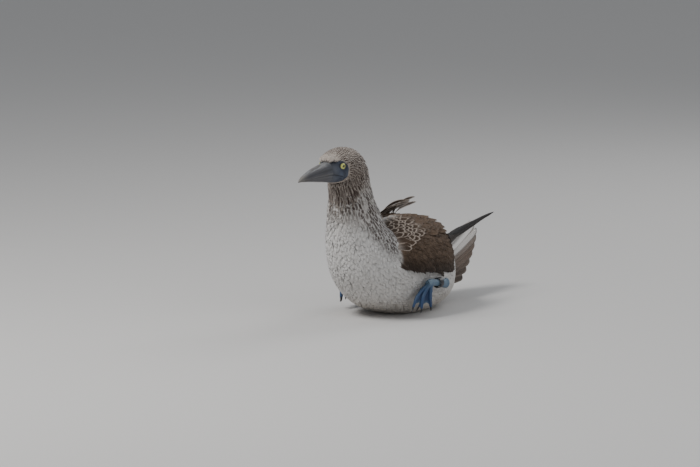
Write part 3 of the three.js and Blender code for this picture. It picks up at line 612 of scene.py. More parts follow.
def marking_group():
    """A feather's markings on its vane map, with uneven edges from noise. The streak lies along the shaft and
    stops short of the tip. The rim is a crescent round the tip: the length of a vector of how far along
    beyond seven tenths and how far across the feather."""
    tree = new_group("markings", {}, {"Streak": "NodeSocketFloat", "Rim": "NodeSocketFloat"})
    out = tree.nodes.new("NodeGroupOutput")
    uv = node(tree, "ShaderNodeUVMap", uv_map="Vane")
    split = tree.nodes.new("ShaderNodeSeparateXYZ")
    tree.links.new(uv.outputs[0], split.inputs[0])
    noise = node(tree, "ShaderNodeTexNoise", values={"Scale": 700.0, "Detail": 2.0})
    place = tree.nodes.new("ShaderNodeTexCoord")
    tree.links.new(place.outputs["Object"], noise.inputs["Vector"])
    rough = math_node(tree, "MULTIPLY", math_node(tree, "SUBTRACT", noise.outputs["Fac"], 0.5), 0.5)
    off = math_node(tree, "ABSOLUTE", math_node(tree, "SUBTRACT", split.outputs[0], 0.5))
    across = math_node(tree, "MULTIPLY", off, 2.0)
    side = smooth_step(tree, math_node(tree, "ADD", across, rough), 0.70, 0.44)
    uneven = math_node(tree, "ADD", split.outputs[1], math_node(tree, "MULTIPLY", rough, 0.4))
    end = smooth_step(tree, uneven, 1.0, 0.88)
    tree.links.new(math_node(tree, "MULTIPLY", side, end), out.inputs["Streak"])
    beyond = math_node(tree, "MULTIPLY", math_node(tree, "SUBTRACT", split.outputs[1], 0.7), 3.33)
    beyond = math_node(tree, "MAXIMUM", beyond, 0.0)
    wide = math_node(tree, "MULTIPLY", across, 0.85)
    beyond = math_node(tree, "POWER", beyond, 2.0)
    wide = math_node(tree, "POWER", wide, 2.0)
    length = math_node(tree, "SQRT", math_node(tree, "ADD", beyond, wide))
    length = math_node(tree, "ADD", length, math_node(tree, "MULTIPLY", rough, 0.3))
    tree.links.new(smooth_step(tree, length, 0.56, 0.72), out.inputs["Rim"])
    return tree


BARBS = barb_group()
MOTTLE = mottle_group()
MARKINGS = marking_group()


def base_material(name, roughness, **constants):
    """A Principled material with its constant values set on its own sockets."""
    material = bpy.data.materials.new(name)
    material.use_nodes = True
    shader = material.node_tree.nodes["Principled BSDF"]
    shader.inputs["Roughness"].default_value = roughness
    for label, value in constants.items():
        shader.inputs[label.replace("_", " ")].default_value = value
    return material, shader


def place_group(tree, group, **values):
    """A group node with its own values."""
    made = tree.nodes.new("ShaderNodeGroup")
    made.node_tree = group
    for label, value in values.items():
        made.inputs[label].default_value = value
    return made


def tinted(tree, shader, mask, low, high):
    """The vertex colour, multiplied by low where the mask is 0 and by high where it is 1."""
    colour = node(tree, "ShaderNodeAttribute", attribute_name="tint")
    level = node(tree, "ShaderNodeMapRange",
                 values={"From Min": 0.0, "From Max": 1.0, "To Min": low, "To Max": high})
    tree.links.new(mask, level.inputs["Value"])
    product = node(tree, "ShaderNodeMix", data_type="RGBA", blend_type="MULTIPLY")
    product.inputs["Factor"].default_value = 1.0
    tree.links.new(colour.outputs["Color"], product.inputs["A"])
    tree.links.new(level.outputs["Result"], product.inputs["B"])
    tree.links.new(product.outputs["Result"], shader.inputs["Base Color"])
    return product


def bumped(tree, shader, height, strength, distance):
    """A bump from a height that feeds the shader's normal."""
    bump = node(tree, "ShaderNodeBump", values={"Strength": strength, "Distance": distance})
    tree.links.new(height, bump.inputs["Height"])
    tree.links.new(bump.outputs["Normal"], shader.inputs["Normal"])


def marked(tree, shader, product, mask, colour):
    """The marking's colour laid over the ground colour where the mask and the vertex's strength are high."""
    strength = node(tree, "ShaderNodeAttribute", attribute_name="tint")
    level = math_node(tree, "MULTIPLY", mask, strength.outputs["Alpha"])
    blend = node(tree, "ShaderNodeMix", data_type="RGBA")
    blend.inputs["B"].default_value = (*colour, 1)
    tree.links.new(level, blend.inputs["Factor"])
    tree.links.new(product.outputs["Result"], blend.inputs["A"])
    tree.links.new(blend.outputs["Result"], shader.inputs["Base Color"])


def feather_material(name, roughness, count, slant, low, strength, marking, **constants):
    """Feathers: vertex colour, barbs that darken it a little and raise it, and one kind of marking."""
    material, shader = base_material(name, roughness, **constants)
    tree = material.node_tree
    barbs = place_group(tree, BARBS, Count=count, Slant=slant)
    product = tinted(tree, shader, barbs.outputs["Mask"], low, 1.08)
    label, colour = marking
    marked(tree, shader, product, place_group(tree, MARKINGS).outputs[label], colour)
    bumped(tree, shader, barbs.outputs["Height"], strength, 0.0004)
    return material


def skin_material(name, roughness, coarse, fine, low, high, strength, distance, **constants):
    """Skin or horn: vertex colour, mottled, with a mottled bump and a roughness that follows it."""
    material, shader = base_material(name, roughness, **constants)
    tree = material.node_tree
    mottle = place_group(tree, MOTTLE, Coarse=coarse, Fine=fine)
    tinted(tree, shader, mottle.outputs["Value"], low, high)
    level = node(tree, "ShaderNodeMapRange", values={
        "From Min": 0.3,
        "From Max": 0.7,
        "To Min": roughness - 0.08,
        "To Max": roughness + 0.08,
    })
    tree.links.new(mottle.outputs["Value"], level.inputs["Value"])
    tree.links.new(level.outputs["Result"], shader.inputs["Roughness"])
    bumped(tree, shader, mottle.outputs["Value"], strength, distance)
    return material


SOFT = feather_material(
    "soft_plumage", roughness=0.9, count=26.0, slant=0.9, low=0.95, strength=0.12, marking=("Streak", STREAK),
    Sheen_Weight=0.1, Sheen_Roughness=0.6, Specular_IOR_Level=0.1, Subsurface_Weight=0.35,
    Subsurface_Radius=(1.0, 0.97, 0.94), Subsurface_Scale=0.003)
COVERT = feather_material(
    "covert_plumage", roughness=0.68, count=34.0, slant=0.8, low=0.72, strength=0.6, marking=("Rim", FRINGE),
    Specular_IOR_Level=0.22)
FLIGHT = feather_material(
    "flight_plumage", roughness=0.52, count=150.0, slant=0.25, low=0.82, strength=0.5,
    marking=("Rim", FRINGE), Specular_IOR_Level=0.3)
UNDERSKIN = skin_material(
    "face_and_skin", roughness=0.52, coarse=240.0, fine=900.0, low=0.72, high=1.28, strength=0.5,
    distance=0.0006, Specular_IOR_Level=0.35)
HORN = skin_material(
    "bill_horn", roughness=0.40, coarse=90.0, fine=600.0, low=0.72, high=1.25, strength=0.25,
    distance=0.0004, Specular_IOR_Level=0.5)
LID = skin_material(
    "lid_skin", roughness=0.45, coarse=300.0, fine=1200.0, low=0.7, high=1.3, strength=0.5, distance=0.0004)
CLAW = skin_material(
    "claw_horn", roughness=0.35, coarse=200.0, fine=900.0, low=0.8, high=1.2, strength=0.2, distance=0.0002)


def eye_material():
    """A wet eye: vertex colour under a clear glossy coat, with a fine mottle in the iris."""
    material, shader = base_material("eye_gloss", 0.12, Coat_Weight=1.0, Coat_Roughness=0.03)
    tree = material.node_tree
    mottle = place_group(tree, MOTTLE, Coarse=500.0, Fine=1500.0)
    tinted(tree, shader, mottle.outputs["Value"], 0.85, 1.15)
    return material


def scale_material():
    """The skin of the legs and webs: vertex colour, small rounded scales from a cell pattern as a bump."""
    material, shader = base_material("foot_skin_scales", 0.42, Specular_IOR_Level=0.45)
    tree = material.node_tree
    place = tree.nodes.new("ShaderNodeTexCoord")
    cells = node(tree, "ShaderNodeTexVoronoi", values={"Scale": 620.0})
    tree.links.new(place.outputs["Object"], cells.inputs["Vector"])
    mottle = place_group(tree, MOTTLE, Coarse=120.0, Fine=700.0)
    tinted(tree, shader, mottle.outputs["Value"], 0.72, 1.3)
    height = math_node(tree, "SUBTRACT", 1.0, cells.outputs["Distance"])
    bumped(tree, shader, height, 0.45, 0.0006)
    return material


def ring_material():
    """Dark coated metal of the leg ring with fine scuffs."""
    material, shader = base_material("ring_coating", 0.4, Metallic=0.0, Specular_IOR_Level=0.6)
    tree = material.node_tree
    mottle = place_group(tree, MOTTLE, Coarse=300.0, Fine=1500.0)
    ramp = node(tree, "ShaderNodeValToRGB")
    dark, scuffed = ramp.color_ramp.elements
    dark.color = (*RING_DARK, 1)
    dark.position = 0.45
    scuffed.color = (*RING_SCUFFED, 1)
    scuffed.position = 0.8
    tree.links.new(mottle.outputs["Value"], ramp.inputs["Fac"])
    tree.links.new(ramp.outputs["Color"], shader.inputs["Base Color"])
    bumped(tree, shader, mottle.outputs["Value"], 0.2, 0.0002)
    return material


EYE_GLOSS = eye_material()
SCALES = scale_material()
RING_COATING = ring_material()

# The skin

# Hills of the body over each heel and at each wing's front edge: middle, reach both ways, and height.
THIGH_HILL = {"y": 20.0, "z": 69.0, "long": 28.0, "high": 14.0, "height": 10.0}
SHOULDER_HILL = {"y": -98.0, "z": 112.0, "long": 14.0, "high": 28.0, "height": 4.4}
# The bill's section: powers of the sine across it and of the cosine up and down it.
BILL_SIDE_POWER = 0.85
BILL_RISE_POWER = 0.8


def hill(shape, y, z):
    """A smooth hill: its height times e to the minus square of how many reaches away its middle is."""
    away = ((y - shape["y"]) / shape["long"]) ** 2 + ((z - shape["z"]) / shape["high"]) ** 2
    return shape["height"] * np.exp(-away)


def swell(points):
    """How far the body stands out under the feathered thighs and in front of the folded wings, the right
    thigh lying further back."""
    x, y, z = points[..., 0], points[..., 1], points[..., 2]
    leg_y = y - np.where(x < 0, RIGHT_LEG_BACK, 0.0)
    return (hill(THIGH_HILL, leg_y, z) + hill(SHOULDER_HILL, y, z)) * smooth(40, 62, np.abs(x))


def bill_section(y, angle, grow):
    """The bill's outline at y: the side is a power of the angle's sine times the half width, and the rise a
    power of its cosine times the height above or below the mouth line."""
    ys = BILL[::-1, 0]
    top, mouth, bottom, half = (np.interp(y, ys, BILL[::-1, k]) for k in (1, 2, 3, 4))
    c, s = np.cos(angle), np.sin(angle)
    side = np.sign(s) * np.abs(s) ** BILL_SIDE_POWER * (half + grow)
    rise = np.where(c > 0, top - mouth + grow, mouth - bottom + grow)
    return np.stack([side, y, mouth + np.sign(c) * np.abs(c) ** BILL_RISE_POWER * rise], -1)


SKIN_PLACES = [-0.9, 4.0, 9.0, 14.0, 18.0]
SKIN_DEPTHS = [7.0, 8.0, 6.0, FACE_DEPTH, FACE_DEPTH]


def skin_depth(place):
    """How deep the skin lies under the coat's outer surface."""
    return np.interp(place, SKIN_PLACES, SKIN_DEPTHS)


def skin_point(place, angle):
    """The skin: the body's surface sunk by the coat's depth, swollen at the thighs, with the line of the
    mouth pressed in, and drawn on to the bill's outline at the front of the face."""
    outer = surface(BODY, place, angle)
    y, z = outer[..., 1], outer[..., 2]
    press = 0.9 * np.exp(-(line_distance(GAPE, y, z) / 0.9) ** 2) * (y < -190)
    crease = 0.35 * np.sin((y + 0.8 * z) * 1.1) * np.exp(-(np.hypot(y + 199, z - 259) / 10) ** 2)
    flush = 1.9 * (1 - np.exp(-(np.hypot(y - EYE["y"], z - EYE["z"]) / 11) ** 2)) * smooth(14, 15.4, place)
    points = surface(BODY, place, angle, swell(outer) + flush - skin_depth(place) - press - crease)
    front = bill_section(points[..., 1], angle, 0.55 - 0.5 * smooth(-212, -222, points[..., 1]))
    share = smooth(-205, -221.5, y)
    points = mix(points, front, share)
    points[..., 2] = np.maximum(points[..., 2], FLOOR + 0.6)
    return points


def build_skin():
    """The skin of the head, neck and body in one piece, closer in rows over the head."""
    places = np.concatenate([np.linspace(-0.9, 12, 90), np.linspace(12, SKIN_END, 170)[1:]])
    angles = np.linspace(-math.pi, math.pi, 220, endpoint=False)
    place, angle = np.meshgrid(places, angles, indexing="ij")
    points = skin_point(place, angle)
    tint = shading_skin(points, place, angle)
    unwrap = np.stack([0.01 + 0.98 * (angle / (2 * math.pi) + 0.5), 0.01 + 0.98 * place / HEAD_END], -1)
    skin = ring_piece("skin", points, UNDERSKIN, tint, {"Unwrap": np.clip(unwrap, 0, 1)})
    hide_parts("torso", "neck", "head", "thigh_left", "thigh_right")


# The coat of head, neck and body

# Over the body, by place: feather length, half width, gap along the rows and gap around them.
COAT_PLACES = [-0.9, 3.0, 6.0, 8.0, 10.0, 12.0, 13.4, 15.0, 17.0, 18.0]
COAT_LENGTH = [28.0, 27.0, 22.0, 19.0, 18.0, 16.0, 12.5, 10.5, 8.5, 6.5]
COAT_HALF = [7.0, 7.0, 5.2, 4.6, 5.0, 4.6, 3.5, 3.1, 2.4, 1.8]
COAT_STEP = [7.5, 6.8, 4.6, 4.2, 6.4, 6.8, 5.4, 4.6, 3.2, 2.2]
COAT_AROUND = [7.5, 6.8, 4.8, 4.4, 6.2, 6.2, 4.9, 4.3, 3.1, 2.2]
# The coat's pieces, with the places along the body that each one covers.
COAT_PIECES = {
    "coat_rear": (-1, 3.2),
    "coat_belly": (3.2, 6.2),
    "coat_breast": (6.2, 9.0),
    "coat_neck": (9.0, 12.8),
    "coat_head": (12.8, 19),
}


def coat_value(values, place):
    """One of the coat's sizes at a place along the body."""
    return np.interp(place, COAT_PLACES, values)


def ring_roots(rows, place, gap, offset):
    """Angles round one ring of the surface that lie an equal way apart along it."""
    fine = np.linspace(-math.pi, math.pi, 721)
    points = surface(rows, np.full(fine.shape, place), fine)
    way = np.concatenate([[0], np.cumsum(np.linalg.norm(np.diff(points, axis=0), axis=-1))])
    count = max(int(way[-1] / gap), 6)
    return np.interp((np.arange(count) + offset) / count * way[-1], way, fine)


def body_roots(rng):
    """Roots over the whole body in staggered rings, moved a little, without those on the bare face, round
    the bill, or under the wings."""
    places, angles = [], []
    place, turn = -0.9, 0
    while place < HEAD_END:
        ring = ring_roots(BODY, place, coat_value(COAT_AROUND, place), 0.5 * (turn % 2))
        places.append(np.full(ring.shape, place))
        angles.append(ring)
        middle = rows_at(BODY, np.array([place - 0.05, place + 0.05]))[:, :2]
        speed = max(np.linalg.norm(middle[1] - middle[0]) / 0.1, 11.0)
        place += coat_value(COAT_STEP, place) / speed
        turn += 1
    place, angle = np.concatenate(places), np.concatenate(angles)
    step = 0.02
    sideways = surface(BODY, place, angle + step) - surface(BODY, place, angle - step)
    speed = np.maximum(np.linalg.norm(sideways, axis=-1) / (2 * step), LEAST_RADIAN)
    angle = angle + rng.uniform(-0.4, 0.4, angle.shape) * coat_value(COAT_AROUND, place) / speed
    place = place + rng.uniform(-0.5, 0.5, place.shape) * coat_value(COAT_STEP, place) / 28
    place = np.minimum(place, HEAD_END)
    point = surface(BODY, place, angle)
    y, z = point[:, 1], point[:, 2]
    bare = polygon_distance(FACE, y, z) < 0.2
    low_edge = np.interp(y, WING_LOWER[:, 0], WING_LOWER[:, 1])
    covered = (y > -66) & (y < 62) & (z > low_edge + 10) & (place < 9)
    hidden_belly = z < 0.4
    keep = ~bare & ~covered & ~(hidden_belly & (rng.uniform(0, 1, y.shape) < 0.5))
    return place[keep], angle[keep]


def lie_slant(point, place, angle):
    """How the coat turns off the rows: down the flanks a little, and round the cheeks."""
    y, z = point[..., 1], point[..., 2]
    flank = 0.22 * np.exp(-((place - 4.5) / 2.5) ** 2) * smooth(0.9, 1.6, np.abs(angle))
    cheek = -0.25 * np.exp(-(((y + 178) / 12) ** 2 + ((z - 262) / 14) ** 2))
    neck = smooth(8.5, 10, place) * (1 - smooth(12, 13.5, place))
    nape = -0.3 * neck * (1 - smooth(1.4, 2.3, np.abs(angle)))
    return flank + cheek + nape


def build_coat():
    """The small feathers of head, neck and body, in five pieces by place along the body."""
    rng = np.random.default_rng(11)
    place, angle = body_roots(rng)
    columns, stations = 5, 7
    count = len(place)
    chance = draws(rng, count, columns)
    point = surface(BODY, place, angle)
    depth = skin_depth(place)
    raised = swell(point)
    loose = smooth(9, 6, place)
    roots = {
        "place": place,
        "angle": angle,
        "length": coat_value(COAT_LENGTH, place) * (1 + 0.12 * chance["tone"]),
        "half": coat_value(COAT_HALF, place) * rng.uniform(0.9, 1.12, count),
        "slant": lie_slant(point, place, angle) + rng.normal(0, 0.11, count),
        "low": raised - depth - 0.4 - 2.0 * smooth(17.0, 18.0, place),
        "high": raised - 0.9 + 0.2 * rng.uniform(-1, 1, count),
        "curl": rng.uniform(0, 0.2, count) * loose + rng.uniform(0, 2.2, count) * smooth(1.6, 0.2, place),
        "ragged": chance["ragged"] * 0.6,
    }
    upper, lower, along, across, turn = lay_feathers(
        BODY, -1.0, roots, stations, columns, thick=0.3, crown=0.05, ease=2.6)
    upper[..., 2] = np.maximum(upper[..., 2], FLOOR + 0.1)
    lower[..., 2] = np.maximum(lower[..., 2], FLOOR)
    centre = np.broadcast_to(point[:, None, None, :], upper.shape)
    each_place = over_feather(place, along)
    each_angle = over_feather(angle, along)
    ground = body_tint(centre, each_place, each_angle, along, over_feather(chance["tone"], along))
    strength = streak_strength(centre, each_place, each_angle, over_feather(chance["luck"], along))
    tint = np.concatenate([ground, strength[..., None]], -1)
    for name, (first, last) in COAT_PIECES.items():
        chosen = (place >= first) & (place < last)
        share = (place[chosen] - first) / (last - first)
        patch = bake_patch(angle[chosen] / (2 * math.pi) + 0.5, share, along[chosen], across[chosen])
        feather_piece(name, upper[chosen], lower[chosen], tint[chosen], patch,
                      vane_map(along[chosen], across[chosen]), SOFT, turn[chosen] > 0)


build_skin()
build_coat()

# Wings and back

# The y of a folded wing's front and rear end, and the rearmost y of its coverts and of the back feathers.
WING_START = -97.0
WING_END = 84.0
COVERT_END = 91.0
BACK_END = 114.0


def wing_angle(y, z):
    """The angle on the wings' surface at a y and a z."""
    row = rows_at(WING, place_of(WING, y))
    share = (z - row[..., 1]) / np.where(z > row[..., 1], row[..., 4], row[..., 5])
    return np.arccos(np.clip(share, -0.999, 0.999))


def wing_edges(y):
    """The angles of a wing's upper and lower edge at a y."""
    upper = wing_angle(y, np.interp(y, WING_UPPER[:, 0], WING_UPPER[:, 1]))
    lower = wing_angle(y, np.interp(y, WING_LOWER[:, 0], WING_LOWER[:, 1]))
    return upper, lower


def build_wing_core(side):
    """The wing under its feathers: a plate whose outer face is the wing's surface sunk by 2 mm, and deeper
    towards its edges, and whose inner face is the surface sunk by 9 mm, closed at its rim."""
    stations, columns = 60, 40
    ys = np.linspace(WING_START, WING_END, stations)
    upper, lower = wing_edges(ys)
    share = np.linspace(0.0, 1.0, columns)
    y = np.broadcast_to(ys[:, None], (stations, columns))
    angle = upper[:, None] - 0.06 + (lower - upper)[:, None] * share
    place = place_of(WING, y)
    inset = 4 * np.exp(-(y - WING_START) / 5) + 3 * smooth(WING_END - 14, WING_END, y)
    inset = inset + 4.8 * np.abs(share - 0.5)[None, :] ** 6
    outer = surface(WING, place, angle * SIDES[side], -2.0 - inset)
    inner = surface(WING, place, angle * SIDES[side], -9.0)
    tint = mix(np.broadcast_to(BROWN * 0.6, outer.shape), DEEP_BROWN, share[None, :])
    blank = np.zeros((1, stations, columns))
    core = feather_piece(f"wing_core_{side}", outer[None], inner[None], tint[None],
                         grid_map(stations, columns), vane_map(blank + 0.5, blank), COVERT,
                         side == "left")
    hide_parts(f"wing_{side}")


def wing_tint(point, along, across, tone):
    """Brown coverts, darker low on the wing, with slightly paler edges; whitish at the wing's front edge."""
    y, z = point[..., 1], point[..., 2]
    low = np.interp(y, WING_LOWER[:, 0], WING_LOWER[:, 1])
    shade = 0.85 * (1 - smooth(2, 38, z - low)) + 0.15 * (1 - smooth(30, 60, z - low))
    colour = mix(BROWN, DEEP_BROWN, shade)
    edge = smooth(0.5, 0.95, np.abs(across)) * 0.20 + 0.08 * smooth(0.85, 1, along)
    colour = mix(colour, FRINGE * 0.5, edge * (0.6 + 0.4 * tone))
    front = (1 - smooth(-97, -91, y)) * smooth(98, 112, z)
    colour = mix(colour, WHITE * 0.95, np.clip(front, 0, 1))
    shaft = np.exp(-(across / 0.1) ** 2) * 0.35
    return mix(colour, DEEP_BROWN, shaft) * (1 + 0.24 * tone)[..., None]


# From the front of the wing back: y of the roots, length, half width, gap around, lift at the tips.
COVERT_ROWS = [(-98 + 6.5 * k, 17 + 1.7 * k, 3.0 + 0.14 * k, 4.0 + 0.18 * k, 1.4) for k in range(17)]


def build_wing(side, seed):
    """Coverts in close rows from the wing's front edge back, and the secondaries that end at its rear edge.
    They run back and down, more steeply high on the wing, and none passes below its lower edge."""
    rng = np.random.default_rng(seed)
    columns, stations = 5, 7
    rows = [(y, length, half, gap, lift, 0) for y, length, half, gap, lift in COVERT_ROWS]
    rows += [(12.0 + 8 * k, 58 - 6.5 * k, 6.4, 5.4, 1.5 - 0.1 * k, 1) for k in range(4)]
    place, angle, length, half, high, kind = [], [], [], [], [], []
    for k, (y, long, wide, gap, lift, late) in enumerate(rows):
        top, bottom = wing_edges(np.array([y]))
        count = int((bottom[0] - top[0]) * 92 / gap) + 1
        share = (np.arange(count) + 0.5 * (k % 2)) / count
        angles = top[0] - 0.05 + (bottom[0] - top[0]) * np.minimum(share, 0.985)
        place.append(np.full(count, place_of(WING, y)))
        angle.append(angles)
        length.append(np.full(count, long))
        half.append(np.full(count, wide))
        high.append(np.full(count, lift))
        kind.append(np.full(count, late))
    place, angle, length, half, high, kind = map(np.concatenate, (place, angle, length, half, high, kind))
    count = len(place)
    chance = draws(rng, count, columns)
    angle = angle + rng.normal(0, 0.012, count)
    point = surface(WING, place, angle)
    low = np.interp(point[:, 1], WING_LOWER[:, 0], WING_LOWER[:, 1])
    drop = np.maximum(point[:, 2] - low - 4, 0)
    slant = np.minimum(0.62, np.arctan2(drop, length * 0.9)) * (0.8 + 0.2 * (kind == 0))
    length = np.minimum(length * (1 + 0.08 * chance["tone"]), (COVERT_END - point[:, 1]) / np.cos(slant) + 3)
    roots = {
        "place": place + rng.normal(0, 0.02, count),
        "angle": angle * SIDES[side],
        "length": np.maximum(length, 10),
        "half": half,
        "slant": slant + rng.normal(0, 0.04, count),
        "low": np.full(count, -2.2),
        "high": high + rng.uniform(-0.4, 0.4, count),
        "curl": rng.uniform(-0.3, 0.3, count),
        "ragged": chance["ragged"] * 0.7,
    }
    upper, lower, along, across, turn = lay_feathers(
        WING, 1.0, roots, stations, columns, thick=0.4, crown=0.10, ease=1.3)
    tint = wing_tint(upper, along, across, over_feather(chance["tone"], along))
    share = (place - place.min()) / (place.max() - place.min())
    patch = bake_patch(angle / math.pi, share, along, across)
    feather_piece(f"wing_coverts_{side}", upper, lower, tint, patch, vane_map(along, across), COVERT,
                  turn < 0)


def mantle_lift(point):
    """How far the back feathers stand off the wings' surface: 5 mm over each wing, less along the midline."""
    return 5.0 - 9.0 * np.exp(-(point[..., 0] / 9.0) ** 2)


def back_tint(point, along, across, tone):
    """Brown back feathers with a pale rounded fringe, whiter in the middle of the upper back."""
    x, y = point[..., 0], point[..., 1]
    front = 1 - smooth(-34, 6, y)
    colour = mix(np.broadcast_to(BROWN, point.shape), DEEP_BROWN, 0.55 * front * smooth(0.2, 0.6, along))
    colour = mix(colour, DEEP_BROWN, 0.4 * np.exp(-(across / 0.14) ** 2))
    white = (1 - smooth(16, 34, np.abs(x))) * smooth(-104, -84, y) * (1 - smooth(-44, -14, y))
    collar = 1 - smooth(-100, -82, y)
    colour = mix(colour, WHITE * 0.95, np.clip(0.9 * white + 0.45 * collar, 0, 1))
    return np.concatenate([colour * (1 + 0.14 * tone)[..., None], (0.08 + 0.84 * front)[..., None]], -1)


# From the neck's base back: y of the roots, length, half width and gap around.
BACK_ROWS = [(-98 + 8.5 * k, 26 + 2.4 * k, 6.2 + 0.24 * k, 8.0 + 0.3 * k) for k in range(15)]


def build_back(side, seed):
    """The scapulars and mantle of one side: rows of rounded feathers from the neck's base back over the
    upper edge of the wing."""
    rng = np.random.default_rng(seed)
    columns, stations = 7, 8
    place, angle, length, half = [], [], [], []
    for k, (y, long, wide, gap) in enumerate(BACK_ROWS):
        top, _ = wing_edges(np.array([y]))
        edge = top[0] + 0.05
        count = int(edge * 88 / gap) + 1
        share = (np.arange(count) + 0.5 * (k % 2)) / count
        place.append(np.full(count, place_of(WING, y)))
        angle.append(0.02 + (edge - 0.02) * share)
        length.append(np.full(count, long))
        half.append(np.full(count, wide))
    place, angle, length, half = map(np.concatenate, (place, angle, length, half))
    count = len(place)
    chance = draws(rng, count, columns)
    point = surface(WING, place, angle)
    length = np.minimum(length * (1 + 0.1 * chance["tone"]), BACK_END - point[:, 1])
    lift = mantle_lift(point)
    early = 1 - smooth(-104, -80, point[:, 1])
    late = smooth(10, 60, point[:, 1])
    roots = {
        "place": place + rng.normal(0, 0.02, count),
        "angle": (angle + rng.normal(0, 0.012, count)) * SIDES[side],
        "length": length,
        "half": half,
        "slant": 0.10 + 0.22 * smooth(-40, 30, point[:, 1]) + rng.normal(0, 0.05, count),
        "low": lift - 6.5,
        "high": lift + 0.6 + rng.uniform(-0.6, 0.8, count) - 3 * early,
        "curl": rng.uniform(-0.4, 0.9, count) - 4.5 * late,
        "ragged": chance["ragged"] * 0.5,
    }
    upper, lower, along, across, turn = lay_feathers(
        WING, 1.0, roots, stations, columns, thick=0.5, crown=0.12, ease=1.3)
    tint = back_tint(upper, along, across, over_feather(chance["tone"], along))
    share = (place - place.min()) / (place.max() - place.min())
    patch = bake_patch(angle / math.pi, share, along, across)
    piece = feather_piece(f"back_feathers_{side}", upper, lower, tint, patch, vane_map(along, across), COVERT,
                          turn < 0)
    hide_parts(f"scapulars_{side}")


for wing_side, wing_seed in (("left", 21), ("right", 22)):
    build_wing_core(wing_side)
    build_wing(wing_side, wing_seed)
    build_back(wing_side, wing_seed + 10)


# Hands, tail and ruffled feathers

# How many times the small feathers' bake patch a long feather's strip is long and wide.
STRIP_LONG = 200.0
STRIP_WIDE = 30.0
# How many feathers and their half width, then how much shorter each next primary is and how far it lies
# above and outside the one before, and how far each next tail feather lies under the one before.
PRIMARIES = {"count": 9, "half": 5.4, "shorter": 0.05, "rise": 0.75, "out": 0.9}
TAIL_FEATHERS = {"count": 8, "half": 12.5, "under": 1.1}
RUFFLE = {"count": 11, "half": 6.6}


def blades(paths, sides, outs, halves, thick, ridge, columns=9):
    """Long feathers: at each station of each path the vane goes across by its half width along the side
    direction, arched by a tenth of it, and is thickest along a ridge at its shaft."""
    u = np.linspace(-1, 1, columns)
    u = np.sign(u) * np.abs(u) ** 1.3
    count, stations = paths.shape[:2]
    along = np.broadcast_to(np.linspace(0, 1, stations)[None, :, None], (count, stations, columns))
    across = np.broadcast_to(u[None, None, :], along.shape)
    spread = (halves[:, :, None] * across)[..., None] * sides[:, :, None, :]
    arch = -0.1 * halves[:, :, None] * across ** 2
    full = thick * (1 - across ** 2) * (1 - along ** 6) + ridge * np.exp(-(across / 0.12) ** 2) * (1 - along)
    middle = paths[:, :, None, :] + spread + arch[..., None] * outs[:, :, None, :]
    upper = middle + (full / 2)[..., None] * outs[:, :, None, :]
    lower = middle - (full / 2)[..., None] * outs[:, :, None, :]
    return upper, lower, along, across


def long_feathers(name, upper, lower, along, across, tint, flip):
    """One piece of long feathers, whose bake patches are drawn out into strips that lie side by side."""
    count = len(upper)
    middle = (np.arange(count) + 0.5) / count
    patch = bake_patch(middle, np.full(count, 0.5), (along - 0.5) * STRIP_LONG + 0.5, across * STRIP_WIDE)
    patch = np.clip(patch, 0.005, 0.995)
    return feather_piece(name, upper, lower, tint, patch, vane_map(along, across), FLIGHT, flip)


def hand_line(share, shift):
    """The middle of the folded hand at a share of its length, with its outward and upward directions."""
    row = rows_at(HAND, share * (len(HAND) - 1))
    ease = share[..., None] ** 1.2
    at = np.stack([row[..., 1], row[..., 0], row[..., 2]], -1) + shift * ease
    lean = math.radians(HAND_LEAN)
    out = np.broadcast_to([math.cos(lean), 0, math.sin(lean)], at.shape)
    up = np.broadcast_to([-math.sin(lean), 0, math.cos(lean)], at.shape)
    return at, out, up, row[..., 3], row[..., 4]


def mirror(points, side):
    """The points with x turned to the bird's right where the side is right."""
    return points * np.array([SIDES[side], 1, 1])


def build_hand(side, shift):
    """The primaries of one folded wing, stacked with their tips stepped."""
    count, stations = PRIMARIES["count"], 30
    index = np.arange(count)[:, None]
    reach = 1 - PRIMARIES["shorter"] * index
    run = np.linspace(0, 1, stations)[None, :]
    at, out, up, _, _ = hand_line(0.02 + (reach - 0.02) * run, shift)
    rise = (PRIMARIES["rise"] * (index - 2)) * (1 - 0.5 * run)
    at = at + rise[..., None] * up + (PRIMARIES["out"] * (index - 3.5))[..., None] * out
    width = np.interp(run[0], [0, 0.15, 0.4, 0.7, 0.9, 1], [0.8, 1.0, 1.0, 0.72, 0.42, 0.06])
    halves = np.broadcast_to(PRIMARIES["half"] * width, (count, stations))
    upper, lower, along, across = blades(at, up, out, halves, thick=0.5, ridge=0.5)
    tone = np.random.default_rng(5).uniform(-1, 1, count)[:, None, None]
    tint = mix(np.broadcast_to(BLACK, upper.shape), DEEP_BROWN, 0.5 * smooth(0.3, 1, np.abs(across)))
    tint = tint * (1 + 0.2 * tone)[..., None]
    piece = long_feathers(f"primaries_{side}", mirror(upper, side), mirror(lower, side), along, across, tint,
                          side == "left")
    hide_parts(f"hand_{side}")


def build_hand_core(side, shift):
    """The bundle at the roots of the primaries: ellipses along the hand, tapering to its inside."""
    stations, sides = 14, 20
    at, out, up, thick, high = hand_line(np.linspace(0, 0.34, stations), shift)
    angle = np.linspace(0, 2 * math.pi, sides, endpoint=False)[None, :]
    taper = np.linspace(0.92, 0.35, stations)[:, None]
    rings = at[:, None, :] + (np.cos(angle) * thick[:, None] * taper)[..., None] * out[:, None, :]
    rings = rings + (np.sin(angle) * high[:, None] * taper)[..., None] * up[:, None, :]
    tint = np.broadcast_to(DEEP_BROWN * 0.8, rings.shape)
    vane = np.stack(np.meshgrid(np.linspace(0, 1, stations), np.linspace(0, 1, sides), indexing="ij"), -1)
    ring_piece(f"hand_core_{side}", mirror(rings, side), FLIGHT, tint, {"Vane": vane})


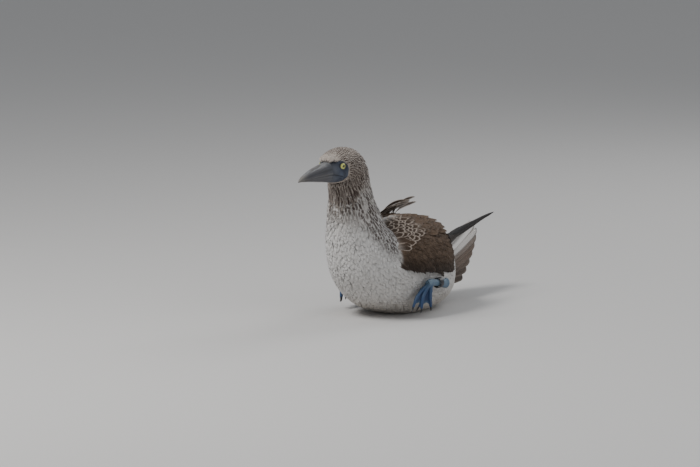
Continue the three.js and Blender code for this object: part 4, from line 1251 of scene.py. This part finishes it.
def tail_plane(x, y):
    """A place on the arched tail: it climbs to its tip and droops with the distance from the middle."""
    slope = (TAIL["tip_z"] - TAIL["root_z"]) / (TAIL["tip"] - TAIL["root"])
    z = TAIL["root_z"] + slope * (y - TAIL["root"]) - TAIL["droop"] * np.abs(x)
    return np.stack([x, y, z], -1)


def build_tail(side):
    """The tail feathers of one side, shorter outwards and stacked under the middle ones."""
    count, stations = TAIL_FEATHERS["count"], 30
    share = np.linspace(0, 1, count)
    tip = tail_plane(mix(TAIL["half_first"], TAIL["half_wide"], share ** 0.75),
                     mix(TAIL["tip"], TAIL["outer_tip"], share ** 1.3))
    root = tail_plane(mix(TAIL["half_first"], TAIL["half_root"], share), np.full(count, TAIL["root"] + 4))
    run = np.linspace(0, 1, stations)
    at = root[:, None, :] + (tip - root)[:, None, :] * run[None, :, None]
    slope_side = unit(np.array([1.0, 0, -TAIL["droop"]]))
    along_dir = unit(tip - root)
    out = unit(np.cross(np.broadcast_to(slope_side, along_dir.shape), along_dir))
    side_dir = unit(np.cross(along_dir, out))
    at = at - (TAIL_FEATHERS["under"] * np.arange(count))[:, None, None] * out[:, None, :]
    width = np.interp(run, [0, 0.3, 0.6, 0.85, 0.95, 1], [0.5, 0.9, 1.0, 0.85, 0.55, 0.1])
    halves = np.broadcast_to(TAIL_FEATHERS["half"] * width, (count, stations))
    side_dirs = np.broadcast_to(side_dir[:, None, :], at.shape)
    outs = np.broadcast_to(out[:, None, :], at.shape)
    upper, lower, along, across = blades(at, side_dirs, outs, halves, thick=0.5, ridge=0.6)
    tone = np.random.default_rng(6).uniform(-1, 1, count)[:, None, None]
    outer = over_feather(share, along)
    colour = mix(np.broadcast_to(WHITE * 0.86, upper.shape), TAIL_BROWN, smooth(0.05, 0.35, outer))
    colour = mix(colour, DEEP_BROWN, 0.6 * smooth(0.35, 0.9, outer) * smooth(0.2, 0.9, along))
    pale = 0.6 * smooth(0.78, 1.0, np.abs(across)) + 0.35 * np.exp(-(across / 0.08) ** 2)
    colour = mix(colour, FRINGE, pale)
    colour = colour * (1 + 0.12 * tone)[..., None]
    piece = long_feathers(f"tail_feathers_{side}", mirror(upper, side), mirror(lower, side), along, across,
                          colour, side == "right")
    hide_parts(f"tail_{side}")


def build_ruffle():
    """Loose long feathers that stand up off the far side of the back: each one rises from its root, arches
    back and comes down a little at its tip."""
    count, stations = RUFFLE["count"], 26
    rng = np.random.default_rng(8)
    index = np.arange(count)[:, None]
    run = np.linspace(0, 1, stations)[None, :]
    long = rng.uniform(80, 112, count)[:, None]
    high = rng.uniform(22, 34, count)[:, None]
    x = -8 - 1.6 * index - 6 * run + 3 * np.sin(3 * run + index)
    y = -58 + 10.5 * index + long * run ** 1.25
    z = 158 - 0.4 * index + high * np.sin(math.pi * 0.54 * run ** 0.65)
    at = np.stack([x, y, z], -1)
    run_dir = unit(np.gradient(at, axis=1))
    side = unit(np.cross(run_dir, np.array([-0.75, 0.0, 0.66])))
    out = unit(np.cross(side, run_dir))
    width = np.interp(run[0], [0, 0.2, 0.6, 0.85, 1], [0.6, 0.9, 1.0, 0.7, 0.1])
    halves = np.broadcast_to(RUFFLE["half"] * width, (count, stations))
    upper, lower, along, across = blades(at, side, out, halves, thick=0.4, ridge=0.4)
    pale = np.clip(smooth(0.3, 0.7, np.abs(across)) + 0.5 * smooth(0.8, 1.0, along), 0, 1)
    tint = mix(np.broadcast_to(DEEP_BROWN * 1.6, upper.shape), FRINGE * 1.2, pale)
    long_feathers("ruffled_feathers", upper, lower, along, across, tint, True)


for hand_side, hand_shift in (("left", np.zeros(3)), ("right", RIGHT_HAND_SHIFT)):
    build_hand(hand_side, hand_shift)
    build_hand_core(hand_side, hand_shift)
build_tail("left")
build_tail("right")
build_ruffle()

# Eyes and bill


def eye_frame():
    """The left eye's centre and three directions: the gaze, one upwards and one across."""
    turn = math.radians(EYE["turn"])
    gaze = unit(np.array([math.cos(turn), -math.sin(turn), EYE["rise"]]))
    up = unit(np.array([0, 0, 1.0]) - gaze * gaze[2])
    return np.array([EYE["x"], EYE["y"], EYE["z"]]), gaze, up, np.cross(gaze, up)


def build_eye(side):
    """The eyeball as rings about its gaze: a dark pupil, a pale yellow iris with a dark rim, and a cornea
    that bulges where the iris is."""
    centre, gaze, up, across = eye_frame()
    polar = np.concatenate([np.linspace(0.01, 0.95, 60), np.linspace(0.95, math.pi - 0.01, 24)[1:]])[:, None]
    turn = np.linspace(0, 2 * math.pi, 64, endpoint=False)[None, :]
    radius = EYE["radius"] + 0.35 * (1 - smooth(0.45, 0.85, polar))
    rings = centre + (radius * np.cos(polar))[..., None] * gaze
    rings = rings + (radius * np.sin(polar) * np.cos(turn))[..., None] * across
    rings = rings + (radius * np.sin(polar) * np.sin(turn))[..., None] * up
    off = EYE["radius"] * np.sin(polar) + 0 * turn
    off = np.where(polar > math.pi / 2, 99.0, off)
    rays = 0.5 + 0.5 * np.sin(turn * 40 + 3 * np.sin(turn * 7)) * np.ones_like(off)
    iris = mix(IRIS_YELLOW, IRIS_PALE, rays * smooth(PUPIL, IRIS, off))
    colour = mix(np.broadcast_to(PUPIL_BLACK, rings.shape), iris, smooth(PUPIL - 0.15, PUPIL + 0.15, off))
    colour = mix(colour, IRIS_RIM, 0.9 * smooth(IRIS - 1.1, IRIS - 0.2, off))
    colour = mix(colour, EYE_EDGE, smooth(IRIS - 0.1, IRIS + 0.25, off))
    eye = ring_piece(f"eyeball_{side}", mirror(rings, side), EYE_GLOSS, colour)
    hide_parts(f"eye_{side}")


def build_lids(side):
    """The lids: a ring round the eye whose section is a bead with two folds, higher above and below than
    the eye is wide, sunk into the face behind."""
    centre, gaze, up, across = eye_frame()
    turn = np.linspace(0, 2 * math.pi, 96, endpoint=False)[:, None]
    section = np.linspace(0, 2 * math.pi, 28, endpoint=False)[None, :]
    opening = 6.35 - 0.25 * np.abs(np.sin(turn)) ** 1.5
    bead = 1.25 + 0.16 * np.cos(3 * section) + 0.05 * np.sin(turn * 22)
    distance = opening + bead * np.cos(section)
    height = 4.6 + 1.15 * bead * np.sin(section)
    rings = centre + height[..., None] * gaze
    rings = rings + (distance * np.cos(turn))[..., None] * across
    rings = rings + (distance * np.sin(turn) * 0.96)[..., None] * up
    tint = np.broadcast_to(SLATE_DARK * 0.5, rings.shape)
    hoop_piece(f"eyelids_{side}", mirror(rings, side), LID, tint)


def build_bill(upper):
    """Half of the bill: rings from its root to its hooked tip, with a ridge on top, a long groove below it
    and a thin raised edge along the mouth."""
    count, sides = 110, 49
    place = np.linspace(place_of(BILL, BILL_ROOT), len(BILL) - 1, count)
    row = rows_at(BILL, place)
    y, top, mouth, bottom, half = (row[:, k][:, None] for k in range(5))
    angle = np.linspace(0, math.pi, sides)[None, :]
    edge = mouth if upper else mouth - BILL_GAP
    rise = top - edge if upper else edge - bottom
    sign = 1.0 if upper else -1.0
    side = np.sign(np.cos(angle)) * np.abs(np.cos(angle)) ** BILL_SIDE_POWER
    height = np.sin(angle) ** BILL_RISE_POWER
    groove_at = (height - 0.42 + 0 * y) ** 2
    lip = np.exp(-((height - 0.08 + 0 * y) / 0.06) ** 2)
    groove = 0.35 * np.exp(-groove_at / 0.09 ** 2) * smooth(3, 5, half)
    width = (half * (1.0 if upper else 0.97) - groove + 0.25 * lip * smooth(1, 5, half)) * side
    rings = np.stack([width, y + 0 * angle, edge + sign * height * rise], -1)
    rings = np.concatenate([rings, np.stack([0 * y, y, edge], -1)], 1)
    # The top of each half is painted lighter, most on the upper half: a painted highlight along the ridge.
    ridge = smooth(0.72, 1.0, height + 0 * y) * (0.75 if upper else 0.2)
    colour = mix(np.broadcast_to(HORN_GREY, rings[:, :-1].shape), HORN_RIDGE_HIGHLIGHT, ridge)
    lines = 0.5 + 0.5 * np.sin(height * 34 + 2.2 * np.sin(y * 0.06) + 1.1 * np.sin(y * 0.19))
    colour = mix(colour, HORN_LINE, 0.62 * lines * smooth(-222, -245, y))
    colour = mix(colour, HORN_LIP, 0.4 * lip)
    # Painted shade darkens the groove.
    colour = mix(colour, HORN_GROOVE_SHADE, 0.6 * np.exp(-groove_at / 0.06 ** 2))
    colour = mix(colour, HORN_TIP, 0.65 * smooth(-286, -312, y) + 0 * angle)
    colour = np.concatenate([colour, np.broadcast_to(HORN_INSIDE, (count, 1, 3))], 1)
    name = "upper" if upper else "lower"
    bill = ring_piece(f"bill_{name}_horn", rings, HORN, colour)
    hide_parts(f"bill_{name}")


for eye_side in SIDES:
    build_eye(eye_side)
    build_lids(eye_side)
build_bill(True)
build_bill(False)

# Legs and feet


def curved_tube(points, radii, rings, sides, flatten=1.0, knobs=None):
    """Rings about a Catmull-Rom curve through points, with radii along it and flatter or higher by a factor.
    Knobs are swellings as their share of the way, width and height."""
    points = np.asarray(points, float)
    place = np.linspace(0, len(points) - 1, rings)
    at = rows_at(points, place)
    along = unit(rows_at(points, place + 0.01) - rows_at(points, place - 0.01))
    across = unit(np.cross(np.array([0, 0, 1.0]), along))
    up = unit(np.cross(along, across))
    radius = rows_at(np.asarray(radii, float)[:, None], np.linspace(0, len(radii) - 1, rings))[:, 0]
    for share, width, height in knobs or ():
        radius = radius + height * np.exp(-((place / (len(points) - 1) - share) / width) ** 2)
    turn = np.linspace(0, 2 * math.pi, sides, endpoint=False)[None, :]
    out = np.cos(turn)[..., None] * across[:, None, :] + flatten * np.sin(turn)[..., None] * up[:, None, :]
    return at[:, None, :] + radius[:, None, None] * out


def toe_curve(toe, t):
    """A toe's middle line: a quadratic curve from the toes' root by its bend to its tip."""
    root = TOE_ROOT + np.array([0, 4.0, 0])
    bend = np.array(toe["bend"], float)
    tip = np.array(toe["tip"], float)
    t = np.asarray(t, float)[..., None]
    return (1 - t) ** 2 * root + 2 * t * (1 - t) * bend + t ** 2 * tip


def leg_place(points, side):
    """Points of the left leg moved to their own side, the right leg lying further back."""
    back = RIGHT_LEG_BACK if side == "right" else 0.0
    moved = mirror(points + np.array([0, back, 0]), side)
    moved[..., 2] = np.maximum(moved[..., 2], FLOOR)
    return moved


# The radii of the tarsus from the toes to the heel, and those of a toe as shares of its own radius.
TARSUS_RADII = [5.2, 5.0, 4.6, 6.0, 6.8, 2.5]
TOE_TAPER = np.array([1.3, 1.1, 1.0, 0.92, 0.84, 0.62])
TOE_JOINTS = [(0.38, 0.06, 0.5), (0.68, 0.05, 0.45)]
WEB_THICK = 0.9


def above_middle(rings):
    """How far each point of a ring lies above its ring's middle."""
    return rings[..., 2] - rings[..., 2].mean(1, keepdims=True)


def build_tarsus(side):
    """The tarsus with its thick heel, paler towards the toes and on top as painted light, and bluer towards
    the heel.
    """
    stations = 60
    points = [TOE_ROOT + (0, -10, -2), TOE_ROOT, (TOE_ROOT + HEEL) / 2,
              HEEL + (0, -8, 0), HEEL, HEEL + (0, 7, 0)]
    rings = curved_tube(points, TARSUS_RADII, stations, 32, 1.3)
    place = np.linspace(0, 1, stations)[:, None] + 0 * rings[..., 0]
    # The tarsus is painted paler towards the toes and on its top: painted light.
    tint = mix(np.broadcast_to(LEG_LIT_BLUE, rings.shape), LEG_BLUE, 0.5 + 0.5 * smooth(0.55, 0.9, place))
    tint = mix(tint, LEG_LIT_BLUE * 1.1, 0.6 * smooth(0.0, 0.6, above_middle(rings)))
    tarsus = ring_piece(f"tarsus_skin_{side}", leg_place(rings, side), SCALES, tint)
    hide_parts(f"tarsus_{side}")


def build_toe(k, toe, side):
    """One toe with its two joints: dark blue underneath as painted shade, lighter on top as painted light,
    and paler at its root with the tarsus's painted light.
    """
    stations = 44
    line = toe_curve(toe, np.linspace(0, 1, len(TOE_TAPER)))
    rings = curved_tube(line, toe["radius"] * TOE_TAPER, stations, 20, 0.9, TOE_JOINTS)
    # The toe's top is painted lighter and its underside darker: painted light and shade.
    painted_top_light = smooth(-0.5, 0.8, above_middle(rings) / toe["radius"])
    near_root = smooth(0.4, 0, np.linspace(0, 1, stations)[:, None] + 0 * painted_top_light)
    tint = mix(np.broadcast_to(WEB_SHADE_BLUE * 1.4, rings.shape), LEG_BLUE, 0.45 * painted_top_light)
    tint = mix(tint, LEG_LIT_BLUE, 0.7 * near_root)
    piece = ring_piece(f"toe_{k + 1}_{side}", leg_place(rings, side), SCALES, tint)
    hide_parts(f"foot_{side}")


def build_nail(k, toe, side):
    """The claw of one toe, which runs on from the toe's tip and bends forwards."""
    tip = toe_curve(toe, 1.0)
    run = unit(tip - toe_curve(toe, 0.98))
    line = [tip - run * 1.5, tip + run * 3.5, tip + run * 8 + (0, -2.4, 0)]
    rings = curved_tube(line, [toe["radius"] * 0.5, toe["radius"] * 0.4, 0.35], 18, 14)
    tint = np.broadcast_to(CLAW_DARK, rings.shape)
    nail = ring_piece(f"nail_{k + 1}_{side}", leg_place(rings, side), CLAW, tint)
    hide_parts(f"claw_{k + 1}_{side}")


def build_leg(side):
    """The tarsus, the toes, the webs between them and the claws of one leg."""
    build_tarsus(side)
    for k, toe in enumerate(TOES):
        build_toe(k, toe, side)
    for k in range(len(TOES) - 1):
        build_web(k, side)
    for k, toe in enumerate(TOES):
        build_nail(k, toe, side)


def build_web(k, side):
    """The web between two neighbouring toes: it spans from one middle line to the other, sags between them,
    ends in a hollow curve, and is crossed by fine folds that run out from the root."""
    stations, columns = 36, 25
    t = np.linspace(0.03, 1, stations)[:, None]
    s = np.linspace(0, 1, columns)[None, :]
    reach = 0.96 - 0.17 * np.sin(math.pi * s)
    a = toe_curve(TOES[k], t * reach)
    b = toe_curve(TOES[k + 1], t * reach)
    points = a + (b - a) * s[..., None]
    fold = 0.35 * np.sin(s * math.pi * 9) * np.sin(math.pi * s) * t
    points[..., 2] += fold - 3 * np.sin(math.pi * s) * t
    points[..., 2] = np.maximum(points[..., 2], 1.6)
    lift = np.array([0, 0, WEB_THICK / 2])
    upper = points[None] + lift
    lower = points[None] - lift
    # The web's dark blue is painted shade. It is lighter near its root, and a painted highlight runs along
    # its free edge.
    edge_highlight = smooth(0.86, 1.0, t + 0 * s)
    near_root = smooth(0.3, 0, t + 0 * s)
    tint = mix(np.broadcast_to(WEB_SHADE_BLUE, points.shape), LEG_BLUE, 0.75 * edge_highlight + 0.25 * near_root)[None]
    grid = grid_map(stations, columns)
    web = feather_piece(f"web_{k + 1}_{side}", leg_place(upper, side), leg_place(lower, side), tint,
                        grid, grid, SCALES, side == "left")
    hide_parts(f"foot_{side}")


def build_leg_ring():
    """The plain ring on the left leg: a band with rounded edges turned about the leg's own line along y."""
    corner = np.linspace(0, 2 * math.pi, 40, endpoint=False)[None, :]
    turn = np.linspace(0, 2 * math.pi, 96, endpoint=False)[:, None]
    power = 0.35
    across = np.sign(np.cos(corner)) * np.abs(np.cos(corner)) ** power * RING["thick"] / 2
    height = np.sign(np.sin(corner)) * np.abs(np.sin(corner)) ** power * RING["long"] / 2
    radius = RING["radius"] + RING["thick"] / 2 + across
    x = RING["x"] + radius * np.cos(turn)
    y = RING["y"] + height + 0 * turn
    z = RING["z"] + radius * np.sin(turn)
    ring = hoop_piece("leg_ring_band", np.stack([x, y, z], -1), RING_COATING)
    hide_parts("leg_ring")


for leg_side in SIDES:
    build_leg(leg_side)
build_leg_ring()

# Floor, lights and camera

FLOOR_HALF = 22000.0
# The studio's lights: place, aim and size in metres, power in watts and colour.
LIGHTS = {
    "key": ((-0.7, -1.8, 2.4), (0, -0.05, 0.12), 1.0, 66, (1.0, 0.985, 0.96)),
    "fill": ((2.2, -0.6, 1.2), (0, 0, 0.12), 1.8, 10, (0.94, 0.97, 1.0)),
    "back": ((0.5, 2.2, 1.9), (0, 0, 0.15), 1.4, 18, (1.0, 1.0, 1.0)),
}
STUDIO_STRENGTH = 0.34
CAMERA = {"azimuth": 31.0, "elevation": 8.0, "lens": 200.0, "sensor": 36.0, "width": 700, "height": 467,
          "pixels_per_mm": 0.565, "origin": (392.0, 311.0), "clip_end": 60.0}


def build_floor():
    """A large pale floor that only holds the shadow."""
    points = np.array([[-1, -1, 0], [1, -1, 0], [1, 1, 0], [-1, 1, 0]], float) * FLOOR_HALF
    mesh = bpy.data.meshes.new("floor")
    mesh.from_pydata(points * MM, [], [[0, 1, 2, 3]])
    material, shader = base_material("floor_paint", 0.85)
    shader.inputs["Base Color"].default_value = (*FLOOR_PAINT, 1)
    mesh.materials.append(material)
    floor = bpy.data.objects.new("floor", mesh)
    bpy.context.scene.collection.objects.link(floor)


def add_light(name, place, aim, size, power, colour):
    """A soft square light at a place in metres, aimed at a point."""
    data = bpy.data.lights.new(name, "AREA")
    data.size = size
    data.energy = power
    data.color = colour
    light = bpy.data.objects.new(name, data)
    light.location = place
    light.rotation_euler = (Vector(aim) - Vector(place)).to_track_quat("-Z", "Y").to_euler()
    bpy.context.scene.collection.objects.link(light)


def add_camera():
    """The camera of the photo's view: so far away that a millimetre at the origin is as many pixels as
    stated, and aimed so that the origin falls on its pixel."""
    azimuth, elevation = math.radians(CAMERA["azimuth"]), math.radians(CAMERA["elevation"])
    toward = Vector((math.sin(azimuth) * math.cos(elevation), -math.cos(azimuth) * math.cos(elevation),
                     math.sin(elevation)))
    right = Vector((math.cos(azimuth), math.sin(azimuth), 0))
    up = toward.cross(right)
    scale = CAMERA["pixels_per_mm"] / MM
    aim = right * ((CAMERA["width"] / 2 - CAMERA["origin"][0]) / scale)
    aim = aim + up * ((CAMERA["origin"][1] - CAMERA["height"] / 2) / scale)
    distance = CAMERA["lens"] / CAMERA["sensor"] * CAMERA["width"] / scale
    data = bpy.data.cameras.new("camera")
    data.lens = CAMERA["lens"]
    data.sensor_width = CAMERA["sensor"]
    data.clip_end = CAMERA["clip_end"]
    camera = bpy.data.objects.new("camera", data)
    camera.location = aim + toward * distance
    camera.rotation_euler = (-toward).to_track_quat("-Z", "Y").to_euler()
    bpy.context.scene.collection.objects.link(camera)
    bpy.context.scene.camera = camera


def set_world():
    """Even pale light from all round."""
    world = bpy.data.worlds.new("studio")
    world.use_nodes = True
    background = world.node_tree.nodes["Background"]
    background.inputs["Color"].default_value = (*STUDIO_PAINT, 1)
    background.inputs["Strength"].default_value = STUDIO_STRENGTH
    bpy.context.scene.world = world


build_floor()
for light_name, light_values in LIGHTS.items():
    add_light(light_name, *light_values)
add_camera()
set_world()
